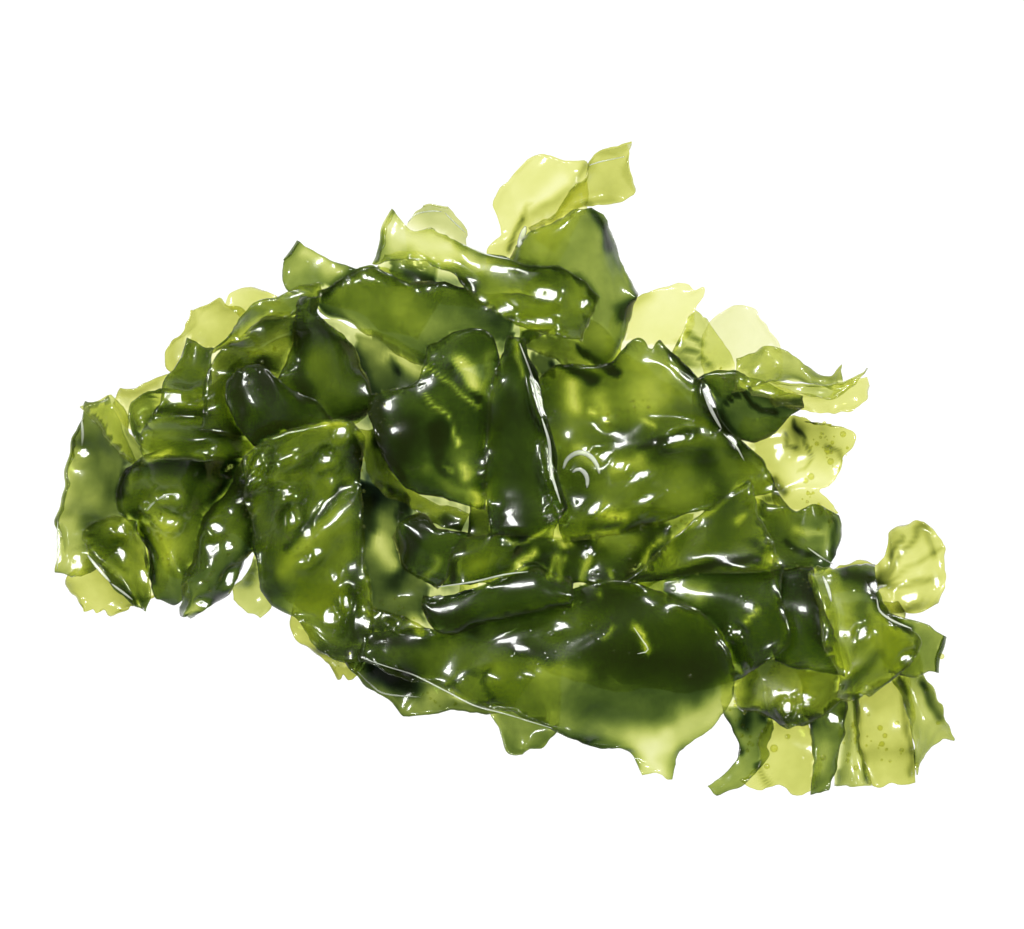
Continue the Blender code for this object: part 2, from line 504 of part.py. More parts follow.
def smooth_line(points, per_span=12):
    """The polyline drawn as a smooth curve through the same points, evenly spaced along its length."""
    line = np.array(points, float)
    ends = np.vstack([2 * line[0] - line[1], line, 2 * line[-1] - line[-2]])
    parts = []
    for before, start, stop, after in zip(ends, ends[1:], ends[2:], ends[3:]):
        t = np.linspace(0, 1, per_span, endpoint=False)[:, None]
        bend = 2 * before - 5 * start + 4 * stop - after
        twist = 3 * start - 3 * stop + after - before
        parts.append(start + 0.5 * t * (stop - before + t * (bend + t * twist)))
    curve = np.vstack(parts + [line[-1:]])
    steps = np.hypot(*np.diff(curve, axis=0).T)
    along = np.concatenate([[0], np.cumsum(steps)])
    return curve, along / along[-1], along[-1]


def rolled(degrees, radius):
    """Offsets in from the edge and heights of a rolled edge, from the flat part to the free end."""
    if degrees == 0:
        return np.zeros(1), np.zeros(1)
    count = int(np.ceil(abs(degrees) / TURN))
    angle = np.radians(np.linspace(0, abs(degrees), count + 1))
    inset = radius * (np.sin(min(np.pi / 2, angle[-1])) - np.sin(angle))
    height = np.sign(degrees) * radius * (1 - np.cos(angle))
    return inset, height


def distance_to(x, y, start, stop):
    """Distance of points from a straight fold."""
    dx = stop[0] - start[0]
    dy = stop[1] - start[1]
    share = ((x - start[0]) * dx + (y - start[1]) * dy) / (dx * dx + dy * dy)
    share = np.clip(share, 0, 1)
    return np.hypot(x - start[0] - share * dx, y - start[1] - share * dy)


def spread_across(shape, widths, u, grid):
    """Places across a blade, 0 at its left edge and 1 at its right, and the heights of its rolled edges."""
    radius = min(shape.get("hem_radius", 1.2), widths.mean() / 5)
    hem_left, hem_right = shape.get("hems", (0, 0))
    left_inset, left_height = rolled(hem_left, radius)
    right_inset, right_height = rolled(hem_right, radius)
    columns = max(3, round(widths.mean() / grid))
    count = columns + len(left_inset) + len(right_inset) - 1
    last_full = 0.8 - 0.25 * ("roll" in shape)
    wide = np.interp(u, np.linspace(0, 1, len(widths)), widths)
    flat = np.linspace(0, 1, count)
    t = np.empty((len(u), count))
    height = np.zeros_like(t)
    for i in range(len(u)):
        open_share = np.clip(min(u[i] / 0.15, (last_full + 0.2 - u[i]) / 0.2), 0, 1)
        size = min(1.0, wide[i] / (5 * radius))
        first = left_inset[::-1] * size / wide[i]
        last = 1 - right_inset * size / wide[i]
        middle = np.linspace(first[-1], last[0], columns + 1)[1:-1]
        t[i] = open_share * np.concatenate([first, middle, last]) + (1 - open_share) * flat
        height[i, : len(first)] = left_height[::-1] * size * open_share
        height[i, -len(last):] += right_height * size * open_share
    return t, height


def own_height(shape, seed, x, y, u, t, length):
    """Height of a blade above what it lies on: its lift, cup, ruffle, crumples and folds."""
    start, middle, tip = shape.get("lift", (0, 0, 0))
    height = np.interp(u, (0, 0.5, 1), (start, middle, tip))[:, None] + np.zeros_like(t)
    side = np.clip(2 * t - 1, -1, 1)
    height = height + shape.get("cup", 0) * side**2
    phase = np.where(side > 0, 1.9, 0.0) + seed + 1.6 * noise(x / 9 + 7, y / 9 + 7, seed + 400)
    wave = np.sin(2 * np.pi * length / WAVE_LENGTH * u[:, None] + phase)
    height = height + shape.get("ruffle", RUFFLE) * np.abs(side) ** 1.5 * wave
    coarse = noise(x / CRUMPLE_LENGTH + 9, y / CRUMPLE_LENGTH + 9, seed)
    fine = noise(x / CRUMPLE_LENGTH * 2.2 + 30, y / CRUMPLE_LENGTH * 2.2 + 30, seed + 100)
    height = RELIEF * (height + shape.get("crumple", 1.2) * (1.2 * coarse + 0.5 * fine))
    for start, stop, rise, width in shape.get("ridges", ()):
        height = height + rise * np.exp(-((distance_to(x, y, start, stop) / width) ** 2))
    return height


def drawn(shape, seed, grid):
    """x, y and own height of a blade's middle: rows from start to tip, columns from left to right."""
    left, left_share, left_length = smooth_line(shape["left"])
    right, right_share, right_length = smooth_line(shape["right"])
    length = (left_length + right_length) / 2
    even = np.linspace(0, 1, 21)
    lefts = np.stack([np.interp(even, left_share, left[:, k]) for k in (0, 1)], axis=1)
    rights = np.stack([np.interp(even, right_share, right[:, k]) for k in (0, 1)], axis=1)
    widths = np.maximum(np.hypot(*(lefts - rights).T), 1.5)

    roll_degrees, roll_radius = shape.get("roll", (0, 1))
    roll_inset, roll_height = rolled(roll_degrees, roll_radius)
    rows = max(3, round(length / grid))
    flat_rows = np.linspace(0, 1 - roll_inset[0] / length, rows + 1)
    u = np.concatenate([flat_rows[:-1], 1 - roll_inset / length])
    u_height = np.concatenate([np.zeros(rows), roll_height])
    t, t_height = spread_across(shape, widths, u, grid)

    edges = []
    for line, share in ((left, left_share), (right, right_share)):
        edges.append(np.stack([np.interp(u, share, line[:, k]) for k in (0, 1)], axis=-1)[:, None, :])
    place = edges[0] * (1 - t[..., None]) + edges[1] * t[..., None]

    out_start = (lefts[0] + rights[0] - lefts[2] - rights[2]) / 2
    out_tip = (lefts[-1] + rights[-1] - lefts[-3] - rights[-3]) / 2
    bulge_start, bulge_tip = shape.get("bulge", (0, 0))
    round_side = (1 - (2 * t - 1) ** 2)[..., None]
    near_start = np.clip(1 - u / 0.35, 0, 1)[:, None, None] ** 2
    near_tip = np.clip(1 - (1 - u) / 0.35, 0, 1)[:, None, None] ** 2
    place = place + bulge_start * out_start / np.hypot(*out_start) * round_side * near_start
    waves, depth = shape.get("scallops", (0, 0))
    scallop = depth * (np.abs(np.sin(np.pi * waves * t)) - SCALLOP_MEAN)[..., None]
    place = place + (bulge_tip * round_side + scallop) * out_tip / np.hypot(*out_tip) * near_tip

    x, y = place[..., 0], place[..., 1]
    height = own_height(shape, seed, x, y, u, t, length) + t_height + u_height[:, None]
    rim = np.maximum(np.abs(2 * t - 1) ** 4, (np.clip(2 * u - 1, 0, 1) ** 4)[:, None])
    moved = []
    for k, along in enumerate((x, y)):
        wander = WANDER * noise(x / 5 + 5, y / 5 + 5, seed + 200 + k)
        notch = NOTCH * rim * noise(x / NOTCH_LENGTH + 8, y / NOTCH_LENGTH + 8, seed + 500 + k)
        moved.append(along + wander + notch)
    return moved[0], moved[1], height


def triangles(rows, columns):
    """Corner numbers of a grid's triangles, all split along the same diagonal."""
    corner = np.arange(rows * columns).reshape(rows, columns)
    a, b = corner[:-1, :-1].ravel(), corner[:-1, 1:].ravel()
    c, d = corner[1:, 1:].ravel(), corner[1:, :-1].ravel()
    return np.concatenate([np.stack([a, d, c], 1), np.stack([a, c, b], 1)])


def sheet_solid(x, y, z):
    """Points and triangles of the closed sheet of even thickness round a middle surface."""
    middle = np.stack([x, y, z], axis=-1)
    rows, columns = x.shape
    normal = np.cross(np.gradient(middle, axis=1), -np.gradient(middle, axis=0))
    normal /= np.maximum(np.linalg.norm(normal, axis=-1, keepdims=True), 1e-9)
    top = (middle + normal * SHEET / 2).reshape(-1, 3)
    bottom = (middle - normal * SHEET / 2).reshape(-1, 3)
    sunk = np.maximum(-np.minimum(top[:, 2], bottom[:, 2]), 0)
    top[:, 2] += sunk
    bottom[:, 2] += sunk
    count = rows * columns
    upper = triangles(rows, columns)
    corner = np.arange(count).reshape(rows, columns)
    rim = np.concatenate([corner[0, :-1], corner[:-1, -1], corner[-1, :0:-1], corner[:0:-1, 0]])
    after = np.roll(rim, -1)
    walls = [np.stack([rim, after, after + count], 1), np.stack([rim, after + count, rim + count], 1)]
    faces = np.concatenate([upper, upper[:, ::-1] + count] + walls)
    return np.vstack([top, bottom]), faces


def blurred(field, spread):
    """The field blurred over neighbouring cells."""
    reach = int(np.ceil(2.5 * spread))
    weights = np.exp(-0.5 * (np.arange(-reach, reach + 1) / spread) ** 2)
    weights /= weights.sum()
    for axis in (0, 1):
        before, after = field.take([0] * reach, axis), field.take([-1] * reach, axis)
        padded = np.concatenate([before, field, after], axis)
        count = field.shape[axis]
        field = sum(w * padded.take(range(k, k + count), axis) for k, w in enumerate(weights))
    return field


def grown(field, cells):
    """Each cell takes the highest value of its neighbours, so many times over."""
    for _ in range(cells):
        for axis in (0, 1):
            field = np.maximum(field, np.maximum(np.roll(field, 1, axis), np.roll(field, -1, axis)))
    return field


def smooth_above(need):
    """A smooth field that is nowhere below need."""
    field = np.maximum(need, 0)
    for spread, times in ((5.0, 2), (3.0, 3), (1.8, 6)):
        for _ in range(times):
            field = np.maximum(blurred(field, spread), need)
    return field


class Pile:
    """The height map of the blades laid so far."""

    def __init__(self):
        self.columns = int(2 * HALF_X / RASTER)
        self.rows = int(2 * HALF_Y / RASTER)
        self.top = np.zeros((self.rows, self.columns))

    def cells(self, x, y):
        column = np.clip(((x + HALF_X) / RASTER).astype(int), 0, self.columns - 1)
        row = np.clip(((y + HALF_Y) / RASTER).astype(int), 0, self.rows - 1)
        return row, column

    def window(self, x, y, margin=12):
        """First row and column, and the rows and columns after the last, of the cells round a blade."""
        row, column = self.cells(x, y)
        low = (max(row.min() - margin, 0), max(column.min() - margin, 0))
        high = (min(row.max() + margin, self.rows), min(column.max() + margin, self.columns))
        return low, high


def value_at(field, low, x, y):
    """The field read between the centres of its cells."""
    column = np.clip((x + HALF_X) / RASTER - 0.5 - low[1], 0, field.shape[1] - 1.001)
    row = np.clip((y + HALF_Y) / RASTER - 0.5 - low[0], 0, field.shape[0] - 1.001)
    c, r = column.astype(int), row.astype(int)
    across, along = column - c, row - r
    near = field[r, c] * (1 - across) + field[r, c + 1] * across
    far = field[r + 1, c] * (1 - across) + field[r + 1, c + 1] * across
    return near * (1 - along) + far * along


def samples_of(points, faces, steps):
    """Points spread evenly over triangles."""
    a, b, c = (points[faces[:, k]] for k in (0, 1, 2))
    found = []
    for i in range(steps + 1):
        for j in range(steps + 1 - i):
            found.append(a * (steps - i - j) / steps + b * i / steps + c * j / steps)
    return np.concatenate(found)


def lay(shape, seed, pile):
    """Lays a blade on the pile and returns its points and triangles."""
    grid = shape.get("grid", GRID)
    x, y, height = drawn(shape, seed, grid)
    low, high = pile.window(x, y)
    top = pile.top[low[0]: high[0], low[1]: high[1]]
    floor = grown(top, 1)
    need = np.full_like(floor, -1000.0)
    field = np.zeros_like(floor)
    steps = int(np.ceil(SAMPLES * grid / RASTER))
    reach = int(np.ceil(SPREAD * grid / RASTER))
    for _ in range(TRIES):
        base = value_at(field, low, x, y)
        points, faces = sheet_solid(x, y, np.maximum(base + height, SHEET / 2))
        spots = samples_of(points, faces, steps)
        row, column = pile.cells(spots[:, 0], spots[:, 1])
        row, column = row - low[0], column - low[1]
        short = np.where(floor[row, column] > 0, floor[row, column] + GAP - spots[:, 2], -1000.0)
        if short.max() <= 0:
            break
        lack = np.full_like(floor, -1000.0)
        wanting = short > 0
        np.maximum.at(lack, (row[wanting], column[wanting]), short[wanting])
        lack = grown(lack, reach)
        need = np.where(lack > 0, np.maximum(need, field + lack), need)
        field = smooth_above(need)
    if short.max() > 0:
        points[:, 2] += short.max()
        spots[:, 2] += short.max()
    np.maximum.at(top, (row, column), spots[:, 2])
    return points, faces


def material(tone):
    """The wet, glossy green of a blade."""
    found = bpy.data.materials.get("algae_" + tone)
    if found:
        return found
    colour, roughness = TONES[tone]
    made = bpy.data.materials.new("algae_" + tone)
    made.use_nodes = True
    shader = made.node_tree.nodes["Principled BSDF"]
    shader.inputs["Base Color"].default_value = (*colour, 1)
    shader.inputs["Roughness"].default_value = roughness
    shader.inputs["Metallic"].default_value = 0
    return made


def facing_up(shape):
    """The blade with its edges swapped if that turns its drawn side up."""
    outline = np.array(list(shape["left"]) + list(shape["right"])[::-1], float)
    after = np.roll(outline, -1, axis=0)
    area = (outline[:, 0] * after[:, 1] - outline[:, 1] * after[:, 0]).sum()
    if area < 0:
        return shape
    hems = shape.get("hems", (0, 0))
    return {**shape, "left": shape["right"], "right": shape["left"], "hems": (hems[1], hems[0])}


def build():
    """Draws every blade, lays them from the table up and makes one object of each."""
    for old in list(bpy.data.objects):
        bpy.data.objects.remove(old)
    draw_table_layer()
    draw_tails()
    draw_right_fringe()
    draw_fan()
    draw_top_fringe()
    draw_left_blades()
    draw_centre()
    pile = Pile()
    laid = []
    for number, shape in enumerate(FRONDS):
        laid.append(lay(facing_up(shape), number + 1, pile))
    everything = np.vstack([points for points, faces in laid])
    low, high = everything.min(axis=0), everything.max(axis=0)
    middle = (low + high) / 2
    middle[2] = low[2]
    for shape, (points, faces) in zip(FRONDS, laid):
        mesh = bpy.data.meshes.new(shape["name"])
        mesh.from_pydata(((points - middle) * MM).tolist(), [], faces.tolist())
        mesh.polygons.foreach_set("use_smooth", [True] * len(mesh.polygons))
        mesh.materials.append(material(shape["tone"]))
        piece = bpy.data.objects.new(shape["name"], mesh)
        bpy.context.scene.collection.objects.link(piece)


build()
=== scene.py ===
"""The look of a heap of wet sea lettuce, seen from straight above on a white light table.

X points to the photograph's right, Y to its top and Z up to the camera. Sizes are millimetres unless they say
otherwise. The first half draws and lays the blades as the part's own source does. The second half makes each
blade finer and thinner, gives it ripples, a frayed edge, bubbles and a wet, see-through material, and sets up
the table, the lights and the camera.
"""

import bpy
import numpy as np
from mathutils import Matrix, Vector


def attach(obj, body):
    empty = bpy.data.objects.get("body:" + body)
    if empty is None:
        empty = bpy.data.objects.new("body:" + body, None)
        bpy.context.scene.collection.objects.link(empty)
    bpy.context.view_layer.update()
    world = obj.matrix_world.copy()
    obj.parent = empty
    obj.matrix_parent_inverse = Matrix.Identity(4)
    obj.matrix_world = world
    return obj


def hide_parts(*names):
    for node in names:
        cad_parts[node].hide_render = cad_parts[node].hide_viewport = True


MM = 0.001
SHEET = 0.6  # thickness of a blade
GAP = 0.3  # least air between two blades
GRID = 3.3  # wanted distance between the points of a blade
TINY = 1e-9  # keeps a division from failing
SHORTEST = 1e-4  # the same for the distance between two points
FEWEST = 1e-6  # and for the number of points near a cell
NOWHERE = -1000.0  # a height below all others
RELIEF = 1.75  # how strongly the blades are crumpled
TURN = 58.0  # most degrees between two points round a rolled edge
RASTER = 0.75  # cell of the height map that blades are laid on
HALF_X = 84.0  # the height map reaches this far to each side
HALF_Y = 63.0
SAMPLES = 1.7  # places tested in each cell along a blade
SPREAD = 0.6  # share of the grid distance that a lift spreads over
TRIES = 12  # most times a blade is lifted and tested again
WANDER = 0.7  # how far the outline wanders from the drawn edge
WAVE_LENGTH = 11.0  # length of one wave of a ruffled edge
RUFFLE = 0.6  # usual height of those waves
NOTCH = 0.7  # depth of the notches
SCALLOP_MEAN = 0.6  # share of a scallop's depth that lies inside the drawn tip
END_SHARE = 0.35  # share of the length at each end that its bulge or scallops reach
WIDTH_PLACES = 21  # places along a blade at which its width is measured
LEAST_WIDTH = 1.5  # and the least that is reckoned with
RIM_POWER = 4  # how closely the notches keep to the edge
CRUMPLE = 1.2  # usual strength of the crumples
COARSE = 1.2  # share of the large ones in it, and of the small ones between them
FINE = 0.5
SIDE_PHASE = 1.9  # how far the waves of the right edge run ahead of those of the left one
PHASE_WANDER = 1.6  # how unevenly the waves follow one another
EDGE_POWER = 1.5  # how closely the waves keep to the edge
HEM_RADIUS = 1.2  # usual radius of a rolled side
HEM_WIDTHS = 5  # a rolled side's radius is at most the blade's width over this
HEM_OPENS = 0.15  # share of the length over which a rolled side rises from the start
HEM_CLOSES = 0.2  # and over which it sinks again near the tip
HEM_LASTS = 0.8  # share of the length at which it starts to sink
HEM_ROOM = 0.25  # how much sooner it does so where the tip is rolled
BLUR_REACH = 2.5  # how many spreads a blur reaches
SMOOTHING = ((5.0, 2), (3.0, 3), (1.8, 6))  # spreads in cells, and how often each is used
LAST_CELL = 1.001  # keeps a reading between the centres of the last two cells
NOISE_SIDE = 64  # random values along each side of a pattern

# Kinds of random unevenness: length, shift of the pattern and what is added to the blade's seed.
CRUMPLES = (11.0, 9, 0)
FINE_CRUMPLES = (5.0, 30, 100)
WANDERS = (5.0, 5, 200)
PHASES = (9.0, 7, 400)
NOTCHES = (4.0, 8, 500)
RIPPLES = (((4.6, 20, 600), 0.26), ((1.9, 20, 601), 0.03))  # of a wet blade, each with its height
FRILLS = (2.1, 20, 700)
FRAYS = (1.1, 20, 800)
WARPS = (2.3, 40, 901)

FRONDS = []


def frond(name, tone, depth, film, left, right, **shape):
    """Adds one blade, from the table up. Its two long edges run from its start to its tip.

    The depth is how much light it takes away where it is seen, and film is how strongly its film ripples.
    """
    looks = {"name": name, "tone": tone, "depth": depth, "film": film}
    FRONDS.append({**looks, "left": left, "right": right, **shape})


def draw_table_layer():
    """The blades that lie on the table, mostly hidden by the others."""
    frond(
        "under_sheet_left", "bright", 3.4, 0.5,
        [(-62, -11), (-54, -19), (-46, -11), (-38, -19), (-30, -26), (-16, -29), (-5, -27)],
        [(-59, 7), (-50, 14), (-40, 21), (-30, 25.3), (-20, 22.4), (-12, 18.6), (2, 13)],
        crumple=1.7,
    )
    frond(
        "under_sheet_right", "bright", 3.3, 0.5,
        [(-8, -25), (6, -33), (20, -37), (33, -35), (44, -31), (52, -29)],
        [(-3, 17), (5, 22.5), (14, 24.5), (22, 19), (33, 10), (42, 1), (50, -8)],
        crumple=1.7,
    )
    frond(
        "lobe_back_left_outer", "pale", 0.8, 0.5,
        [(-46, 13), (-51, 13.5), (-55.6, 15.6), (-56.5, 18.4), (-55.8, 20.4), (-54.2, 22),
         (-53.2, 25), (-51.6, 26.9)],
        [(-40, 20), (-42, 23.5), (-43.6, 26), (-45.6, 27.6), (-46.8, 28.4), (-47.4, 29.8),
         (-48.4, 28.2), (-50, 27.6)],
        lift=(0, 2, 3), cup=1.6, crumple=1.0, grid=2.4,
    )
    frond(
        "lobe_back_left_inner", "pale", 0.4, 0.5,
        [(-42, 21), (-44.6, 25.6), (-46.4, 28.2)],
        [(-33, 24), (-35.3, 27), (-37, 29)],
        lift=(0, 2, 2.5), bulge=(0, 1.9), scallops=(3, 0.9), ruffle=1.0, crumple=0.9, grid=2.4,
    )
    frond(
        "strip_left_rim", "pale", 0.85, 0.5,
        [(-49, 8), (-56, 7.5), (-60.4, 6.6), (-62.6, 7.2), (-64.9, 10.8)],
        [(-49, 17), (-56.4, 16.4), (-60, 14.3), (-62.2, 13.5), (-64.4, 13.3)],
        lift=(0, 2, 3), cup=1.4, crumple=1.0,
    )
    frond(
        "lobe_low_left", "pale", 1.1, 0.5,
        [(-66, -9), (-69.8, -14), (-72, -16.8), (-74.4, -18.4), (-72.8, -20), (-70.6, -22.8)],
        [(-55, -10), (-55.5, -16), (-56.4, -20.3), (-58.5, -22.2), (-61, -23), (-65, -23.2)],
        lift=(0, 1, 1), scallops=(3, 1.0), ruffle=0.8, crumple=0.9, grid=2.3,
        ridges=[((-69.2, -14), (-70, -22.6), 1.8, 1.2)],
    )
    frond(
        "lobe_small_yellow", "bright", 0.75, 0.5,
        [(-41, -9), (-41.2, -15.4), (-42.5, -17.6), (-44.9, -19.4), (-44.7, -21)],
        [(-35, -14), (-38, -19.6), (-38.6, -22), (-39, -23.4), (-40.8, -24.4)],
        bulge=(0, 0.7), cup=1.0, crumple=0.7, ruffle=0.8, grid=1.9,
    )
    frond(
        "frill_low_left", "pale", 1.4, 0.8,
        [(-35, -19), (-35.6, -26), (-32.4, -29.6), (-30.6, -31.4), (-28.6, -34.4)],
        [(-24, -20), (-22.8, -28), (-23.6, -31.6), (-24.2, -33.6), (-25.6, -35.2)],
        ruffle=1.2, crumple=1.0, scallops=(2, 0.8), grid=2.2,
    )
    frond(
        "sheet_front_under", "bright", 3.5, 0.6,
        [(-27, -31.6), (-24.4, -35), (-20, -38.3), (-16, -40.6), (-12, -40.4), (-7, -40.8), (1, -41)],
        [(-22, -24), (-18, -25), (-14, -26), (-9, -27), (-4, -28), (2, -29), (7, -31)],
        lift=(0, 0.5, 0), cup=1.2, crumple=1.0,
    )
    frond(
        "point_front_under", "mid", 2.3, 0.7,
        [(-4, -32), (-2.6, -39.5), (-0.6, -43.6), (0.4, -46.8), (2.6, -47.8)],
        [(10, -32), (8.8, -41.5), (7.6, -44.6), (6.4, -46.6), (4.4, -47)],
        lift=(0, 1, 2), cup=1.8, crumple=0.8, grid=2.2,
    )


def draw_tails():
    """The strips that hang out at the lower right."""
    frond(
        "tail_bent", "mid", 3.0, 0.5,
        [(34, -27), (35.6, -34), (36.8, -39), (38.4, -43.6), (39.4, -46.6), (38.4, -48.6), (36.4, -50.2),
         (34.3, -52.3)],
        [(42, -26), (42.6, -35), (44.9, -41.8), (43.5, -45), (43.3, -48.4), (41.9, -50.8), (39.2, -52.7),
         (35.9, -54.3)],
        lift=(2, 1, 0.5), cup=-1.2, crumple=0.8, ruffle=0.4, grid=2.4,
    )
    frond(
        "tail_pale_left", "pale", 0.85, 0.4,
        [(44, -23), (44, -33), (43.6, -42), (42.8, -48.6), (41.4, -51.4), (39.4, -52.8)],
        [(53, -24), (51.6, -33), (50.6, -41), (52.2, -48), (51.6, -53.4)],
        bulge=(0, 0.8), scallops=(2, 1.2), crumple=0.8, cup=0.6, grid=2.2,
    )
    frond(
        "tail_pale_right", "pale", 1.1, 0.4,
        [(56, -22), (57.6, -32), (58, -40), (59, -47), (60.8, -52.8)],
        [(66, -22), (67, -32), (67.6, -40), (68, -46.5), (68.6, -52.4)],
        bulge=(0, 0.4), scallops=(2, 0.8), crumple=0.8, cup=0.7, grid=2.4,
    )
    frond(
        "tail_olive", "bright", 1.15, 0.4,
        [(53, -24), (55, -33), (56, -40), (57, -44.4), (56.3, -48), (56, -52.4)],
        [(60, -25), (59, -34), (59.8, -42), (60.8, -48), (61.8, -52.2)],
        lift=(1, 1, 0), cup=-1.0, crumple=0.7, ruffle=0.4, grid=2.2,
    )
    frond(
        "tail_green", "mid", 3.4, 0.4,
        [(46.6, -25), (48.4, -35), (50, -41.6), (51.2, -46), (51.9, -49.6), (51.8, -53.8)],
        [(54.6, -26), (56, -35), (57.2, -42.6), (56.8, -46), (56, -50), (54.6, -53.6)],
        lift=(1.5, 1.5, 0.5), hems=(-95, -95), hem_radius=1.0, crumple=0.6, grid=2.6,
    )
    frond(
        "tail_far_right", "bright", 1.5, 0.6,
        [(60, -24), (63.5, -31), (65.8, -36.5), (67.4, -41.5), (68.2, -46), (68.7, -51.4)],
        [(66.4, -24), (69, -31), (70.6, -35.2), (73, -39.2), (74.2, -42.2), (75.3, -44.6)],
        lift=(1.5, 1.5, 0.5), bulge=(0, -1.9), cup=1.3, hems=(0, 110), hem_radius=0.9, crumple=0.8, grid=2.0,
    )


def draw_right_fringe():
    """The pale and green lobes along the right side."""
    frond(
        "sheet_thin_right", "pale", 0.8, 0.7,
        [(40, 9), (38.6, 5), (38.6, 0), (40, -7)],
        [(50, 8.8), (53, 8), (55, 8.4), (57, 7.3), (58.8, 4.8), (57.7, 3), (56.3, 1), (56.1, -0.6),
         (55, -2), (53.4, -3), (53.2, -4), (54.5, -5.4), (55.9, -7.4)],
        crumple=0.9, ruffle=0.6, grid=1.9,
    )
    frond(
        "lobe_yellow_right_top", "pale", 0.24, 0.4,
        [(16.5, 18), (18.4, 25.6), (22, 28.8), (26, 30.5), (30, 31.7)],
        [(26, 15), (29, 20.6), (31.6, 24), (32, 27), (34.5, 29)],
        lift=(0, 2, 4), bulge=(0, 0.8), scallops=(2, 0.9), crumple=1.0, grid=2.4,
    )
    frond(
        "strip_green_right_top", "bright", 0.65, 0.4,
        [(26, 13), (27.6, 18.5), (29.4, 22), (32.4, 27.2)],
        [(38.4, 12), (37.8, 17), (36.2, 21), (33.8, 25)],
        lift=(1, 2, 3), crumple=0.8,
        ridges=[((29, 22), (36, 15), 1.8, 1.6), ((31, 24), (37, 18), -1.4, 1.6)],
    )
    frond(
        "lobe_white_right_top", "pale", 0.18, 0.4,
        [(34, 13), (33.4, 18.5), (34.2, 24.2), (37, 26.7)],
        [(46, 13), (46.6, 19.6), (45.2, 23), (43.2, 25.6)],
        lift=(0, 3, 5), bulge=(0, 0.8), cup=1.2, crumple=1.0, grid=2.4,
    )
    frond(
        "lobe_dark_right", "mid", 4.7, 0.5,
        [(32, 5.5), (37, 5.4), (40.4, 4.6), (43.4, 5.4), (47, 8), (49.4, 11)],
        [(31, 14.8), (34, 15.8), (38, 15.8), (42, 15), (46, 13.6), (49.6, 12.6)],
        lift=(0, 1, 1), crumple=0.8, ruffle=0.5, ridges=[((37, 11), (44, 8), 1.2, 1.6)],
    )
    frond(
        "lobe_narrow_right", "bright", 1.3, 0.6,
        [(38, 13), (44, 14), (48, 14.4), (52, 13.8), (55, 14), (57, 14.9)],
        [(38, 18.8), (43.6, 20.2), (46.4, 20.4), (48.6, 19), (50.4, 16.9), (52.6, 16), (54.8, 16.6),
         (56.5, 18)],
        lift=(0, 2, 5), ruffle=1.0, crumple=0.8, grid=2.2,
    )
    frond(
        "lobe_pale_right_top", "pale", 0.45, 0.4,
        [(44, 10), (49, 10.8), (51.8, 9.9), (54.6, 9.2), (58, 10.2)],
        [(44, 13), (50, 12.6), (54.6, 13), (57.4, 14.8), (60, 15)],
        lift=(0, 1, 3), bulge=(0, 1.5), cup=1.0, crumple=0.7, grid=2.0,
    )
    frond(
        "lobe_rolled_right", "bright", 1.1, 0.3,
        [(41, 11.6), (45, 11.9), (48, 12.2), (51.6, 11.7), (55, 12.4), (57.8, 14)],
        [(41, 14.6), (46, 14.3), (50, 13.9), (53, 14.1), (56, 15), (60, 16)],
        lift=(1, 2, 4), hems=(0, 150), hem_radius=0.9, crumple=0.5, ruffle=0.3,
    )
    frond(
        "sheet_dark_right", "mid", 3.9, 0.4,
        [(33, -16), (40, -16.6), (47, -17.4), (52, -17.6), (55.4, -15.6)],
        [(34, -3), (40, -4.6), (44, -6.4), (46.6, -6), (50, -6.4), (52.4, -5.4), (54, -6.8), (55.6, -8.4)],
        lift=(0, 1.5, 2), scallops=(3, 0.8), crumple=1.2, grid=2.6,
        ridges=[((53.4, -7), (54, -16), 1.6, 1.2)],
    )


